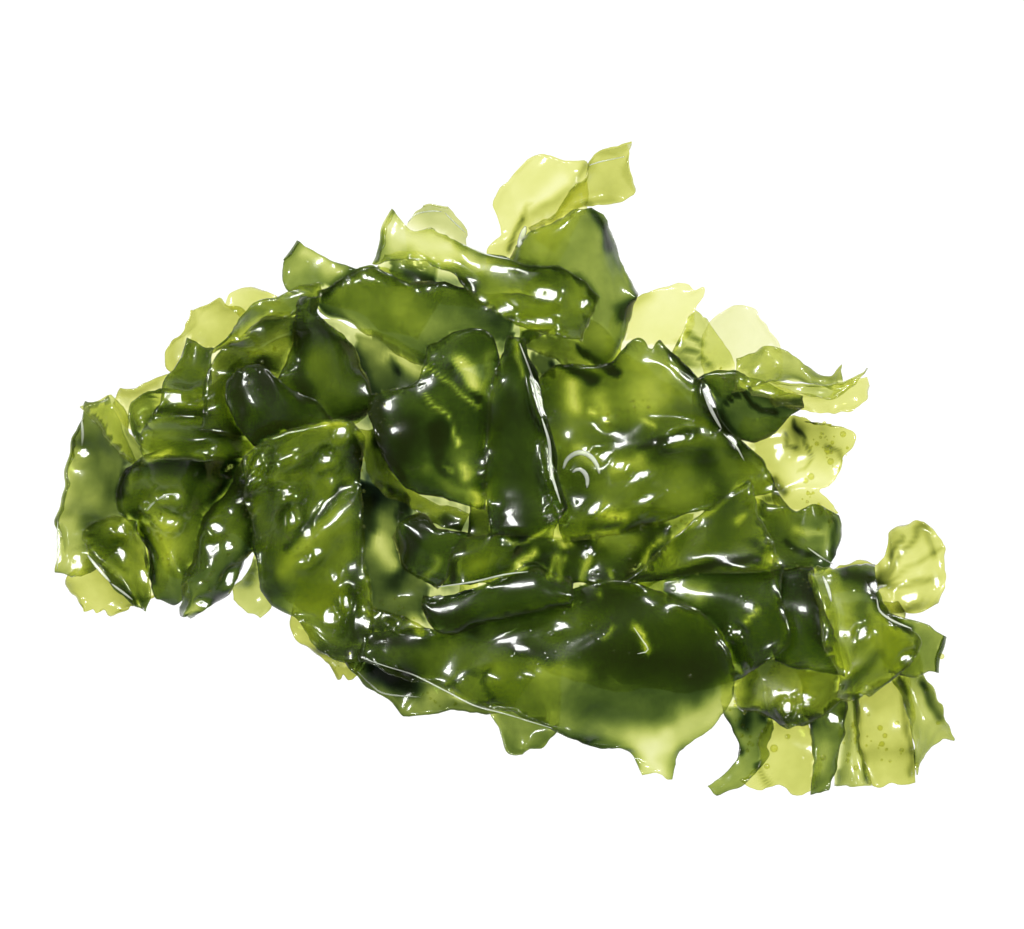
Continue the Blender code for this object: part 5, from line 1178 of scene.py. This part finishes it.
def depths_of(blades, edges):
    """The depth of each point, and whether it is bare. Blades that overlap share what the top one shows."""
    pile = Pile()
    roof = np.full_like(pile.top, NOWHERE)
    wanted, paths = [], []
    for shape, blade, edge in zip(FRONDS, blades, edges):
        x, y, z = (blade[..., k].ravel() for k in (0, 1, 2))
        np.maximum.at(roof, pile.cells(x, y), z)
        fade = 1 - RIM_FADE * np.exp(-edge.ravel() / RIM_WIDTH)
        # the depth takes in the painted shade and glow of the listed lines
        wanted.append(shape["depth"] * fade * np.exp(painted_shade_gain(x, y)))
        upright = np.maximum(np.abs(normals(blade)[..., 2]).ravel(), STEEPEST)
        paths.append(upright**-PATH_POWER)
    roof = -grown(-grown(roof, 1), 2)
    around = blurred(np.maximum(grown(roof, ROOF_CELLS), 0), ROOF_BLUR)

    # From the table up: what the blades in each cell take away together, and how the top one looks.
    whole, shown, free = (np.zeros_like(roof) for _ in range(3))
    level = np.full_like(roof, NOWHERE)
    covers, weights, below = [], [], []
    for shape, blade, edge, want, path in zip(FRONDS, blades, edges, wanted, paths):
        x, y, z = (blade[..., k].ravel() for k in (0, 1, 2))
        nook = np.maximum(value_at(around, (0, 0), x, y) - z - NOOK_FROM, 0)
        # painted shade: a blade is made darker in a nook between higher ones
        want *= 1 + NOOK_SHADE * (1 - np.exp(-nook / NOOK_DEPTH))
        cover = np.clip((roof[pile.cells(x, y)] - z - COVER) / COVER, 0, 1)
        weight = (1 - (1 - HIDDEN_WEIGHT) * cover) * (1 - cover * np.exp(-edge.ravel() / HIDDEN_EDGE))
        layer, here = spread_map(pile, x, y, want * weight * path**cover)
        whole += np.where(here, layer, 0)
        below.append(value_at(whole, (0, 0), x, y))
        height, here = spread_map(pile, x, y, z)
        over = here & (height > level)
        level = np.where(over, height, level)
        shown = np.where(over, spread_map(pile, x, y, want)[0], shown)
        free = np.where(over, seen_through(shape), free)
        covers.append(cover)
        weights.append(weight)

    # Each blade's share, so that light through all of them looks as the top one should.
    found = []
    for shape, blade, want, cover, weight, under in zip(FRONDS, blades, wanted, covers, weights, below):
        x, y = blade[..., 0].ravel(), blade[..., 1].ravel()
        through = (1 - cover) * seen_through(shape) + cover * value_at(free, (0, 0), x, y)
        aim = (1 - cover) * want + cover * value_at(shown, (0, 0), x, y)
        met = (1 - cover) * under + cover * value_at(whole, (0, 0), x, y)
        ratio = np.minimum(aim / np.maximum(met, LEAST_DEPTH), MOST_GAIN) ** (1 - through)
        found.append((want * (weight + (1 - weight) * through) * ratio, 1 - cover))
    return found


# Single air bubbles under the film: place and radius.
BUBBLES = [
    (40.0, -42.8, 0.45), (39.8, -44.5, 0.4), (41.6, -46.0, 0.35), (47.0, -42.5, 0.4), (47.5, -44.6, 0.45),
    (45.2, -46.6, 0.7), (44.0, -49.6, 0.5), (53.3, -48.0, 0.5), (57.6, -47.6, 0.4), (57.4, -48.6, 0.4),
    (58.8, -45.0, 0.45), (58.8, -49.8, 0.45), (63.0, -43.2, 0.5), (63.8, -44.5, 0.45), (63.3, -45.9, 0.5),
    (65.8, -42.4, 0.45), (66.6, -46.9, 0.4), (68.2, -46.9, 0.4), (69.0, -49.3, 0.45), (72.6, -42.3, 0.4),
    (70.7, -36.7, 0.4), (58.4, -42.4, 0.4), (72.8, -31.0, 0.5), (61.0, -37.0, 0.6), (51.4, -1.1, 0.6),
    (50.5, -1.8, 0.5), (56.8, 6.0, 0.55), (54.3, 3.4, 0.75), (54.7, 1.4, 0.6), (52.4, 4.4, 0.4),
    (55.0, 4.6, 0.35), (17.3, 7.8, 0.7), (-3.4, -4.0, 0.45), (-2.9, -2.4, 0.4), (-15.2, 0.3, 0.4),
    (-14.2, 0.4, 0.3), (31.0, -34.2, 0.45),
]

# Stretches with many small bubbles: the two ends of the stretch, its half width and the number of bubbles.
BUBBLE_BEDS = [
    ((-24.4, 4), (-24.0, -27), 1.3, 46), ((-44, -6), (-33, -14), 4.5, 60), ((-51, -20), (-45, -10), 2.2, 34),
    ((-45, 15), (-37, 22), 2.6, 30), ((-60, 8), (-48, 12), 2.4, 30), ((-30, -28), (-26, -33), 2.0, 34),
    ((-22, 12), (-16, 6), 2.6, 30), ((-36, 2), (-30, -2), 3.0, 26), ((14, -6), (24, -12), 3.2, 34),
    ((16, 6), (24, 12), 2.6, 26), ((24, -4), (33, -13), 1.6, 26), ((34, 17), (39, 14), 1.4, 26),
    ((50, -4), (55, -9), 1.8, 26), ((44, -10), (50, -20), 2.4, 26), ((52, 7), (57, 1), 2.2, 24),
    ((39, -38), (41, -47), 1.6, 22), ((57, -44), (66, -49), 3.4, 20), ((-58, -2), (-55, -16), 3.6, 26),
    ((-23, -22), (-15, -26), 2.4, 26), ((10, -26), (22, -30), 2.6, 20), ((-14, -38), (-2, -36), 2.0, 14),
]
BUBBLE_SIZE = (0.14, 0.36)  # radii of the smallest and the largest of them
BUBBLE_SEED = 77
BUBBLE_TURN = 78.0  # how far round a bubble's cap reaches
BUBBLE_NEAR = 0.5  # how near the points of a blade are that a bubble lies on
BUBBLE_LAYER = 0.8  # how far below the highest of them they may be
BUBBLE_SUNK = 0.1  # how deep its foot is in the blade
BUBBLE_SIDES = 12
BUBBLE_RINGS = 4


def cap(centre, radius):
    """Points and triangles of one bubble, a cap closed by a flat foot."""
    turns = np.radians(np.linspace(BUBBLE_TURN, 0, BUBBLE_RINGS + 1))[:-1]
    round_turns = 2 * np.pi * np.arange(BUBBLE_SIDES) / BUBBLE_SIDES
    foot = np.cos(turns[0])
    points = [
        (radius * np.sin(a) * np.cos(b), radius * np.sin(a) * np.sin(b), radius * (np.cos(a) - foot))
        for a in turns for b in round_turns
    ]
    points += [(0, 0, radius * (1 - foot)), (0, 0, 0)]
    faces = []
    for ring in range(BUBBLE_RINGS - 1):
        for side in range(BUBBLE_SIDES):
            here, after = ring * BUBBLE_SIDES + side, ring * BUBBLE_SIDES + (side + 1) % BUBBLE_SIDES
            faces += [(here, after, after + BUBBLE_SIDES), (here, after + BUBBLE_SIDES, here + BUBBLE_SIDES)]
    last = (BUBBLE_RINGS - 1) * BUBBLE_SIDES
    for side in range(BUBBLE_SIDES):
        after = (side + 1) % BUBBLE_SIDES
        faces += [(last + side, last + after, len(points) - 2), (after, side, len(points) - 1)]
    return np.array(points) + centre, np.array(faces)


def bubble_places():
    """Place and radius of every bubble: the single ones, and a seeded scatter in each bed."""
    found = list(BUBBLES)
    smallest, largest = BUBBLE_SIZE
    draw = np.random.default_rng(BUBBLE_SEED)
    for start, stop, half_width, count in BUBBLE_BEDS:
        start, stop = np.array(start, float), np.array(stop, float)
        side = np.array([start[1] - stop[1], stop[0] - start[0]]) / np.hypot(*(stop - start))
        for _ in range(count):
            x, y = start + draw.uniform(0, 1) * (stop - start) + half_width * draw.normal(0, 0.5) * side
            found.append((x, y, smallest + (largest - smallest) * draw.uniform(0, 1) ** 2))
    return found


# Beads of water that hang along edges and folds; they catch the light and carry a painted highlight line:
# radius and the line's points.
BEADS = [
    (0.13, (-23.7, -31.2), (-19, -32.8), (-15, -34.2), (-10, -36.7), (-5, -39.2), (0, -40.6), (8, -43)),
    (0.16, (-24.4, -33.6), (-22.4, -35.6), (-20.4, -37.2), (-17, -37.8), (-14, -38)),
    (0.26, (-70.2, 8.4), (-70.1, 6), (-70.3, 4)), (0.13, (-74.5, -8.6), (-74.7, -12), (-74.6, -16.6)),
    (0.26, (-69.2, -14.2), (-67.4, -16.4), (-65.4, -18.6)),
    (0.2, (-65.2, -18.9), (-63, -20.6), (-61.8, -21.6)),
    (0.16, (-59.4, -6.8), (-58.4, -5.6), (-57, -4.6), (-55.6, -4), (-54.6, -4.2), (-54.2, -5)),
    (0.16, (2.6, 21), (4.8, 15), (6.2, 9)),
    (0.28, (6.3, 8.6), (7.5, 4.5), (7.8, 0), (8.6, -3), (9.4, -5.5)),
    (0.46, (9.9, 0.2), (10.4, 1.6), (11.6, 2.6), (13, 2.9), (14.5, 2.2), (15.5, 0.8), (15.9, -0.6)),
    (0.4, (11.4, -0.4), (12.4, 0.2), (13.4, -0.4), (13.9, -1.6), (13.8, -3)),
    (0.3, (33, 13.4), (34.4, 10), (36.2, 6.8)), (0.16, (36.6, 6), (38.6, 4), (40, 1.6)),
    (0.16, (-11, -19.5), (-5, -18.6), (0, -17.4), (4, -16.9)),
    (0.13, (21.6, -26.2), (22.8, -28), (24, -30), (22.2, -30.6)),
    (0.2, (61.9, -21.4), (62.4, -23.4), (64.5, -25), (67.6, -26.3)),
    (0.26, (61.6, -20.4), (62.4, -19.5), (63.8, -19.2)), (0.3, (52.9, -17.6), (53.7, -19.4), (54.3, -21.8)),
    (0.16, (50.8, -13), (53, -14.6), (54.8, -15.7)),
    (0.13, (-16, 41.2), (-14.8, 42.6), (-12.4, 43.1), (-10.4, 43)),
    (0.13, (-9.8, 42.8), (-8.2, 41.2), (-6.4, 39.6)), (0.13, (14, 50.4), (16.4, 51.2), (20, 51.9)),
    (0.13, (-7, 37.6), (-3, 35.8), (1, 34.9)), (0.55, (2.4, 37), (3, 38.8), (3.6, 40.6)),
]
FLATNESS = 0.6  # height of a bead over its half width
BEAD_NEAR = 0.8  # how near the points of a blade are that a bead lies on
BEAD_EVEN = 5  # steps over which its height is evened
BEAD_BLUNT = 0.4  # how bluntly it ends
BEAD_END = 0.02  # share of its length left off the taper at each end
BEAD_SIDES = 8
BEAD_STEP = 0.6  # wanted distance between its rings
BEAD_RINGS = 6  # fewest rings


def bead(line, radius, spots):
    """Points and triangles of a thin rod of water, along a line on the uppermost blades."""
    curve, share, length = smooth_line(line)
    even = np.linspace(0, 1, max(BEAD_RINGS, int(length / BEAD_STEP)))
    x, y = (np.interp(even, share, curve[:, k]) for k in (0, 1))
    z = np.empty_like(x)
    for k in range(len(even)):
        near = spots[np.hypot(spots[:, 0] - x[k], spots[:, 1] - y[k]) < BEAD_NEAR]
        z[k] = near[:, 2].max() if len(near) else np.nan
    known = ~np.isnan(z)
    z = np.pad(np.interp(even, even[known], z[known]), BEAD_EVEN // 2, mode="edge")
    z = np.convolve(z, np.ones(BEAD_EVEN) / BEAD_EVEN, mode="valid") + THIN / 2
    size = radius * np.sin(np.pi * np.clip(even, BEAD_END, 1 - BEAD_END)) ** BEAD_BLUNT
    ahead = np.stack([np.gradient(x), np.gradient(y)], axis=1)
    side = np.stack([-ahead[:, 1], ahead[:, 0]], axis=1) / np.linalg.norm(ahead, axis=1, keepdims=True)
    turns = 2 * np.pi * np.arange(BEAD_SIDES) / BEAD_SIDES
    out, up = size[:, None] * np.cos(turns), FLATNESS * size[:, None] * np.sin(turns)
    rings = np.stack([x[:, None] + side[:, :1] * out, y[:, None] + side[:, 1:] * out, z[:, None] + up], -1)
    corner = np.arange(len(even) * BEAD_SIDES).reshape(len(even), BEAD_SIDES)
    following = np.roll(corner, -1, axis=1)
    a, b, c, d = corner[:-1].ravel(), following[:-1].ravel(), following[1:].ravel(), corner[1:].ravel()
    walls = np.concatenate([np.stack([a, b, c], 1), np.stack([a, c, d], 1)])
    fan = np.arange(1, BEAD_SIDES - 1)
    caps = [np.stack([0 * fan, fan + 1, fan], 1), np.stack([0 * fan, fan, fan + 1], 1) + corner[-1, 0]]
    return rings.reshape(-1, 3), np.concatenate([walls] + caps)


def new_piece(name, points, faces, values, made):
    """One smooth piece of the scene on the root body, with its values at each point."""
    mesh = bpy.data.meshes.new(name)
    mesh.from_pydata((points * MM).tolist(), [], faces.tolist())
    mesh.polygons.foreach_set("use_smooth", [True] * len(mesh.polygons))
    for kind, numbers in values.items():
        layer = mesh.attributes.new(kind, "FLOAT", "POINT")
        layer.data.foreach_set("value", numbers.astype(np.float32))
    mesh.materials.append(made)
    piece = bpy.data.objects.new(name, mesh)
    bpy.context.scene.collection.objects.link(piece)
    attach(piece, "root")
    return piece


def water_piece(name, parts, made):
    """One piece of the scene from several closed shapes, each given by its points and triangles."""
    starts = np.cumsum([0] + [len(points) for points, corners in parts])
    faces = np.vstack([corners + start for (points, corners), start in zip(parts, starts)])
    values = {"depth": np.full(starts[-1], BUBBLE_DEPTH), "bare": np.ones(starts[-1])}
    piece = new_piece(name, np.vstack([points for points, corners in parts]), faces, values, made)


def lay_water(blades, centre):
    """The bubbles under the film of water, and the beads, each on the blade that is on top at its place."""
    spots = np.concatenate([blade.reshape(-1, 3) for blade in blades])
    caps = []
    for x, y, radius in bubble_places():
        x, y = x - centre[0], y - centre[1]
        near = spots[(np.abs(spots[:, 0] - x) < BUBBLE_NEAR) & (np.abs(spots[:, 1] - y) < BUBBLE_NEAR)]
        if len(near):
            top = near[near[:, 2] > near[:, 2].max() - BUBBLE_LAYER]
            caps.append(cap((x, y, top[:, 2].mean() + THIN / 2 - BUBBLE_SUNK), radius))
    water_piece("bubbles", caps, wet_blade("pale"))
    rods = [bead(np.array(line, float) - centre[:2], radius, spots) for radius, *line in BEADS]
    water_piece("water_beads_painted_highlight", rods, water_with_painted_highlight())


# How strongly each tone takes away red, green and blue, and how much of it is cloudy.
ABSORBED = {
    "clear": (0.5, 0.44, 1.0),
    "pale": (0.47, 0.43, 1.3),
    "bright": (0.51, 0.435, 1.22),
    "mid": (0.51, 0.42, 1.22),
    "dark": (0.52, 0.42, 1.15),
}
CLOUDY = {"clear": 0.08, "pale": 0.08, "bright": 0.16, "mid": 0.2, "dark": 0.18}
POWERS = (1.0, 1.0, 0.5)  # how the loss of red, green and blue grows with depth
COVERED_BLUE = 0.82  # share of its loss of blue that a covered blade keeps
NEARLY_CLEAR = ("curl_clear_top", "lobe_white_right_top")  # pale blades with hardly any green left
BUBBLE_DEPTH = 0.32  # how much light a bubble's wall takes away
CLOUD_SCALE = 130.0  # patches of uneven depth in a blade, per metre, and how strong they are
CLOUD_SHARE = 1.3
GRAIN_SCALE = 900.0  # the same for its grain
GRAIN_SHARE = 0.14
EVEN_SHARE = 0.28  # share of the depth that neither changes
BODY_COLOUR = (0.09, 0.14, 0.015, 1)  # of what scatters light in a blade
BODY_SHARE = 0.4  # how much of that light is thrown back
FILM_SCALE = 420.0  # ripples of the water film per metre
FILM_DEPTH = 0.0004  # in metres
FILM_STRENGTH = 0.15
FILM_ROUGHNESS = 0.4
DROPLET_SCALE = 520.0  # droplets on the film per metre
DROPLET = 0.22  # their radius over their distance
DROPLET_HEIGHT = 2.2  # their height over that of the ripples
PATCH_SCALE = 75.0  # patches that have droplets, per metre, and how sharply they end
PATCH_CONTRAST = 12.0
SHARP_GLOSS = 0.09  # roughness of the two parts of a blade's gloss
SOFT_GLOSS = 0.23
SOFT_SHARE = 0.45  # share of the soft part
FILM_INDEX = 1.38  # refractive indices of the film and of water
WATER_INDEX = 1.33
WATER_TINT = (0.8, 0.84, 0.7, 1)  # of a bead of water, and the white of its painted highlight
PAINTED_HIGHLIGHT_WHITE = (0.85, 0.88, 0.8, 1)
WATER_GLOSS = 0.12
PAINTED_HIGHLIGHT_SHARE = 0.26  # share of a bead's light that is white scatter, a painted highlight


def add(tree, kind, inputs=None, out=0, **settings):
    """Adds a node, sets its inputs to values or links them, and returns one of its outputs."""
    node = tree.nodes.new(kind)
    for name, value in settings.items():
        setattr(node, name, value)
    for key, value in (inputs or {}).items():
        if isinstance(value, bpy.types.NodeSocket):
            tree.links.new(value, node.inputs[key])
        else:
            node.inputs[key].default_value = value
    return node.outputs[out]


def math(tree, operation, first, second=0.0, clamp=False):
    """Adds a node that calculates with two values."""
    return add(tree, "ShaderNodeMath", {0: first, 1: second}, operation=operation, use_clamp=clamp)


def mixed(tree, share, first, second):
    """Two surfaces mixed, with this share of the second."""
    return add(tree, "ShaderNodeMixShader", {0: share, 1: first, 2: second})


def pattern(tree, place, scale, detail=2.0, roughness=0.5):
    """A cloudy pattern with so many patches in a metre."""
    inputs = {"Vector": place, "Scale": scale, "Detail": detail, "Roughness": roughness}
    return add(tree, "ShaderNodeTexNoise", inputs)


def empty_material(name):
    """A new material without nodes, and its node tree."""
    made = bpy.data.materials.new(name)
    made.use_nodes = True
    made.node_tree.nodes.clear()
    return made, made.node_tree


def light_passed(tree, tone, place, bare):
    """The colour of the light that passes a blade, tinted more where the blade is thick or steep."""
    depth = add(tree, "ShaderNodeAttribute", out="Fac", attribute_name="depth")
    normal = add(tree, "ShaderNodeNewGeometry", out="Normal")
    upright = math(tree, "ABSOLUTE", add(tree, "ShaderNodeSeparateXYZ", {0: normal}, out="Z"))
    path = math(tree, "POWER", math(tree, "MAXIMUM", upright, STEEPEST), -PATH_POWER)
    clouds = math(tree, "MULTIPLY", pattern(tree, place, CLOUD_SCALE, detail=3.0), CLOUD_SHARE)
    grain = math(tree, "MULTIPLY", pattern(tree, place, GRAIN_SCALE), GRAIN_SHARE)
    uneven = math(tree, "ADD", math(tree, "ADD", clouds, grain), EVEN_SHARE)
    thick = math(tree, "MULTIPLY", math(tree, "MULTIPLY", depth, uneven), path)
    half = math(tree, "MULTIPLY", thick, 0.5)  # for each of the two sides that the light passes
    passed = []
    for lost, power in zip(ABSORBED[tone], POWERS):
        loss = math(tree, "POWER", half, power)
        if power < 1:
            kept = math(tree, "ADD", math(tree, "MULTIPLY", bare, 1 - COVERED_BLUE), COVERED_BLUE)
            loss = math(tree, "MULTIPLY", loss, kept)
        passed.append(math(tree, "POWER", float(np.exp(-lost)), loss))
    return add(tree, "ShaderNodeCombineColor", dict(enumerate(passed)))


def film_bump(tree, place):
    """The uneven surface of the water film, with its ripples and the droplets in patches."""
    ripples = pattern(tree, place, FILM_SCALE, roughness=FILM_ROUGHNESS)
    nearest = add(tree, "ShaderNodeTexVoronoi", {"Vector": place, "Scale": DROPLET_SCALE}, out="Distance")
    fall = math(tree, "POWER", math(tree, "DIVIDE", nearest, DROPLET), 2.0)
    droplets = math(tree, "SUBTRACT", 1.0, fall, clamp=True)
    patches = math(tree, "SUBTRACT", pattern(tree, place, PATCH_SCALE), 0.5)
    patches = math(tree, "MULTIPLY", patches, PATCH_CONTRAST, clamp=True)
    droplets = math(tree, "MULTIPLY", math(tree, "MULTIPLY", droplets, patches), DROPLET_HEIGHT)
    height = math(tree, "ADD", ripples, droplets)
    inputs = {"Height": height, "Strength": FILM_STRENGTH, "Distance": FILM_DEPTH}
    return add(tree, "ShaderNodeBump", inputs, out="Normal")


def wet_blade(tone):
    """A thin wet blade: light passes it, a little is scattered in it, and its water film shines."""
    name = "wet_" + tone
    if name in bpy.data.materials:
        return bpy.data.materials[name]
    made, tree = empty_material(name)
    place = add(tree, "ShaderNodeTexCoord", out="Object")
    behind = add(tree, "ShaderNodeNewGeometry", out="Backfacing")
    bare = add(tree, "ShaderNodeAttribute", out="Fac", attribute_name="bare")
    tint = light_passed(tree, tone, place, bare)
    bump = film_bump(tree, place)

    clear = add(tree, "ShaderNodeBsdfTransparent", {"Color": tint})
    glow = add(tree, "ShaderNodeBsdfTranslucent", {"Color": tint})
    body = add(tree, "ShaderNodeBsdfDiffuse", {"Color": BODY_COLOUR})
    cloud = mixed(tree, BODY_SHARE, glow, body)
    sheet = mixed(tree, math(tree, "MULTIPLY", bare, CLOUDY[tone]), clear, cloud)
    sharp = add(tree, "ShaderNodeBsdfGlossy", {"Roughness": SHARP_GLOSS, "Normal": bump})
    soft = add(tree, "ShaderNodeBsdfGlossy", {"Roughness": SOFT_GLOSS, "Normal": bump})
    shine = add(tree, "ShaderNodeFresnel", {"IOR": FILM_INDEX, "Normal": bump})
    facing = math(tree, "MULTIPLY", bare, math(tree, "SUBTRACT", 1.0, behind))
    shine = math(tree, "MULTIPLY", shine, facing)
    add_output(tree, mixed(tree, shine, sheet, mixed(tree, SOFT_SHARE, sharp, soft)))
    return made


def water_with_painted_highlight():
    """Water that catches the light: mostly clear, with gloss and a white scatter that is a painted highlight.
    """
    made, tree = empty_material("water_with_painted_highlight")
    clear = add(tree, "ShaderNodeBsdfTransparent", {"Color": WATER_TINT})
    painted_highlight = add(tree, "ShaderNodeBsdfDiffuse", {"Color": PAINTED_HIGHLIGHT_WHITE})
    gloss = add(tree, "ShaderNodeBsdfGlossy", {"Roughness": WATER_GLOSS})
    shine = add(tree, "ShaderNodeFresnel", {"IOR": WATER_INDEX})
    add_output(tree, mixed(tree, shine, mixed(tree, PAINTED_HIGHLIGHT_SHARE, clear, painted_highlight), gloss))
    return made


def add_output(tree, surface):
    """Ends a material with this surface."""
    output = tree.nodes.new("ShaderNodeOutputMaterial")
    tree.links.new(surface, output.inputs["Surface"])


def dress(shape, middle, depth, bare):
    """Makes the visible blade of one node."""
    points, faces = sheet_solid(middle, THIN)
    values = {"depth": np.tile(depth, 2), "bare": np.tile(bare, 2)}
    tone = "clear" if shape["name"] in NEARLY_CLEAR else shape["tone"]
    piece = new_piece("wet_" + shape["name"], points, faces, values, wet_blade(tone))
    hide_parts(shape["name"])


def lay_out():
    """Lays the solids' blades as their source does, and returns the finer visible ones round the origin."""
    for draw in (
        draw_table_layer, draw_tails, draw_right_fringe, draw_fan,
        draw_top_fringe, draw_left_blades, draw_centre,
    ):
        draw()
    pile = Pile()
    laid = [lay(facing_up(shape), number + 1, pile) for number, shape in enumerate(FRONDS)]
    everything = np.vstack([points for points, middle in laid])
    lowest, highest = everything.min(axis=0), everything.max(axis=0)
    centre = (lowest + highest) / 2
    centre[2] = lowest[2]
    visible = Pile()
    edges, blades = [], []
    for number, (shape, (points, middle)) in enumerate(zip(FRONDS, laid)):
        middle, edge = dressed(middle, shape, number + 1)
        edges.append(edge)
        blades.append(settled(middle, visible, edge, shape["film"]))
    bear_gleams(blades)
    depths = depths_of(blades, edges)
    lowest, highest = lowest + THIN / 2, highest - THIN / 2
    return [np.clip(blade, lowest, highest) - centre for blade in blades], depths, centre


PIXELS = 6  # of the photograph in one millimetre
FRAME_WIDTH = 1024 / PIXELS
PHOTO_CENTRE = (8 / PIXELS, 5.5 / PIXELS)
LENS = 300.0  # focal length
SENSOR = 36.0  # width of the camera's sensor
VIEW_END = 10.0  # in metres
TABLE_REACH = 3.0  # in metres, to each side
TABLE_GLOW = 1.12  # a little brighter than white
LAMP_RADIANCE = 75.0  # in watts for each square metre and steradian
# Between these upward parts of a direction the room's light falls from the first strength to the second.
ROOM_LOW, ROOM_HIGH = 0.05, 0.55
ROOM_SIDE, ROOM_TOP = 0.5, 0.06


def light_table():
    """A white, evenly lit table under the heap."""
    mesh = bpy.data.meshes.new("light_table")
    corners = [(TABLE_REACH * x, TABLE_REACH * y, 0) for x, y in ((-1, -1), (1, -1), (1, 1), (-1, 1))]
    mesh.from_pydata(corners, [], [(0, 1, 2, 3)])
    made, tree = empty_material("lit_table")
    add_output(tree, add(tree, "ShaderNodeEmission", {"Color": (1, 1, 1, 1), "Strength": TABLE_GLOW}))
    mesh.materials.append(made)
    table = bpy.data.objects.new("light_table", mesh)
    bpy.context.scene.collection.objects.link(table)


def soft_box(name):
    """A soft lamp that faces the heap."""
    size = LAMPS[name][2]
    place = Vector(lamp_place(name) * MM)
    lamp = bpy.data.lights.new("soft_box_" + name, "AREA")
    lamp.shape = "RECTANGLE"
    lamp.size, lamp.size_y = size
    lamp.energy = LAMP_RADIANCE * np.pi * size[0] * size[1]
    lamp.color = (1.0, 1.0, 1.0)
    made = bpy.data.objects.new(lamp.name, lamp)
    made.location = place
    made.rotation_euler = place.to_track_quat("Z", "Y").to_euler()
    bpy.context.scene.collection.objects.link(made)


def light_the_scene():
    """The lit table, the lamps and a room that is darker towards its ceiling."""
    light_table()
    for name in LAMPS:
        soft_box(name)
    world = bpy.data.worlds.new("studio")
    world.use_nodes = True
    tree = world.node_tree
    tree.nodes.clear()
    direction = add(tree, "ShaderNodeTexCoord", out="Generated")
    upward = add(tree, "ShaderNodeSeparateXYZ", {0: direction}, out="Z")
    ends = {1: ROOM_LOW, 2: ROOM_HIGH, 3: ROOM_SIDE, 4: ROOM_TOP}
    shade = add(tree, "ShaderNodeMapRange", {0: upward, **ends})
    room = add(tree, "ShaderNodeBackground", {"Color": shade, "Strength": 1.0})
    tree.links.new(room, tree.nodes.new("ShaderNodeOutputWorld").inputs["Surface"])
    bpy.context.scene.world = world


def set_camera(centre):
    """Straight above the heap, as the photograph was taken."""
    data = bpy.data.cameras.new("camera")
    data.lens = LENS
    data.sensor_width = SENSOR
    data.clip_end = VIEW_END
    camera = bpy.data.objects.new("camera", data)
    height = LENS_HEIGHT + LENS / SENSOR * FRAME_WIDTH
    camera.location = (
        (PHOTO_CENTRE[0] - centre[0]) * MM, (PHOTO_CENTRE[1] - centre[1]) * MM, height * MM
    )
    bpy.context.scene.collection.objects.link(camera)
    bpy.context.scene.camera = camera


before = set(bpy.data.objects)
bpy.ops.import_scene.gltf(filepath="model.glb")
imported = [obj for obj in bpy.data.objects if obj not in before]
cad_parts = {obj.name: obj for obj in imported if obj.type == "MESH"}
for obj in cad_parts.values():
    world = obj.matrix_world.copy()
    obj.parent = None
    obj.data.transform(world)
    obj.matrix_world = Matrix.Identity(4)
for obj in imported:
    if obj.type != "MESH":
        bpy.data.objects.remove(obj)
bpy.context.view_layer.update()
blades, blade_depths, heap_centre = lay_out()
for shape, middle, (depth, bare) in zip(FRONDS, blades, blade_depths):
    dress(shape, middle, depth, bare)
lay_water(blades, heap_centre)
light_the_scene()
set_camera(heap_centre)
scene = bpy.context.scene
scene.view_settings.view_transform = "Standard"
scene.cycles.max_bounces = 16
scene.cycles.transparent_max_bounces = 64
scene.cycles.transmission_bounces = 10
scene.cycles.caustics_reflective = False
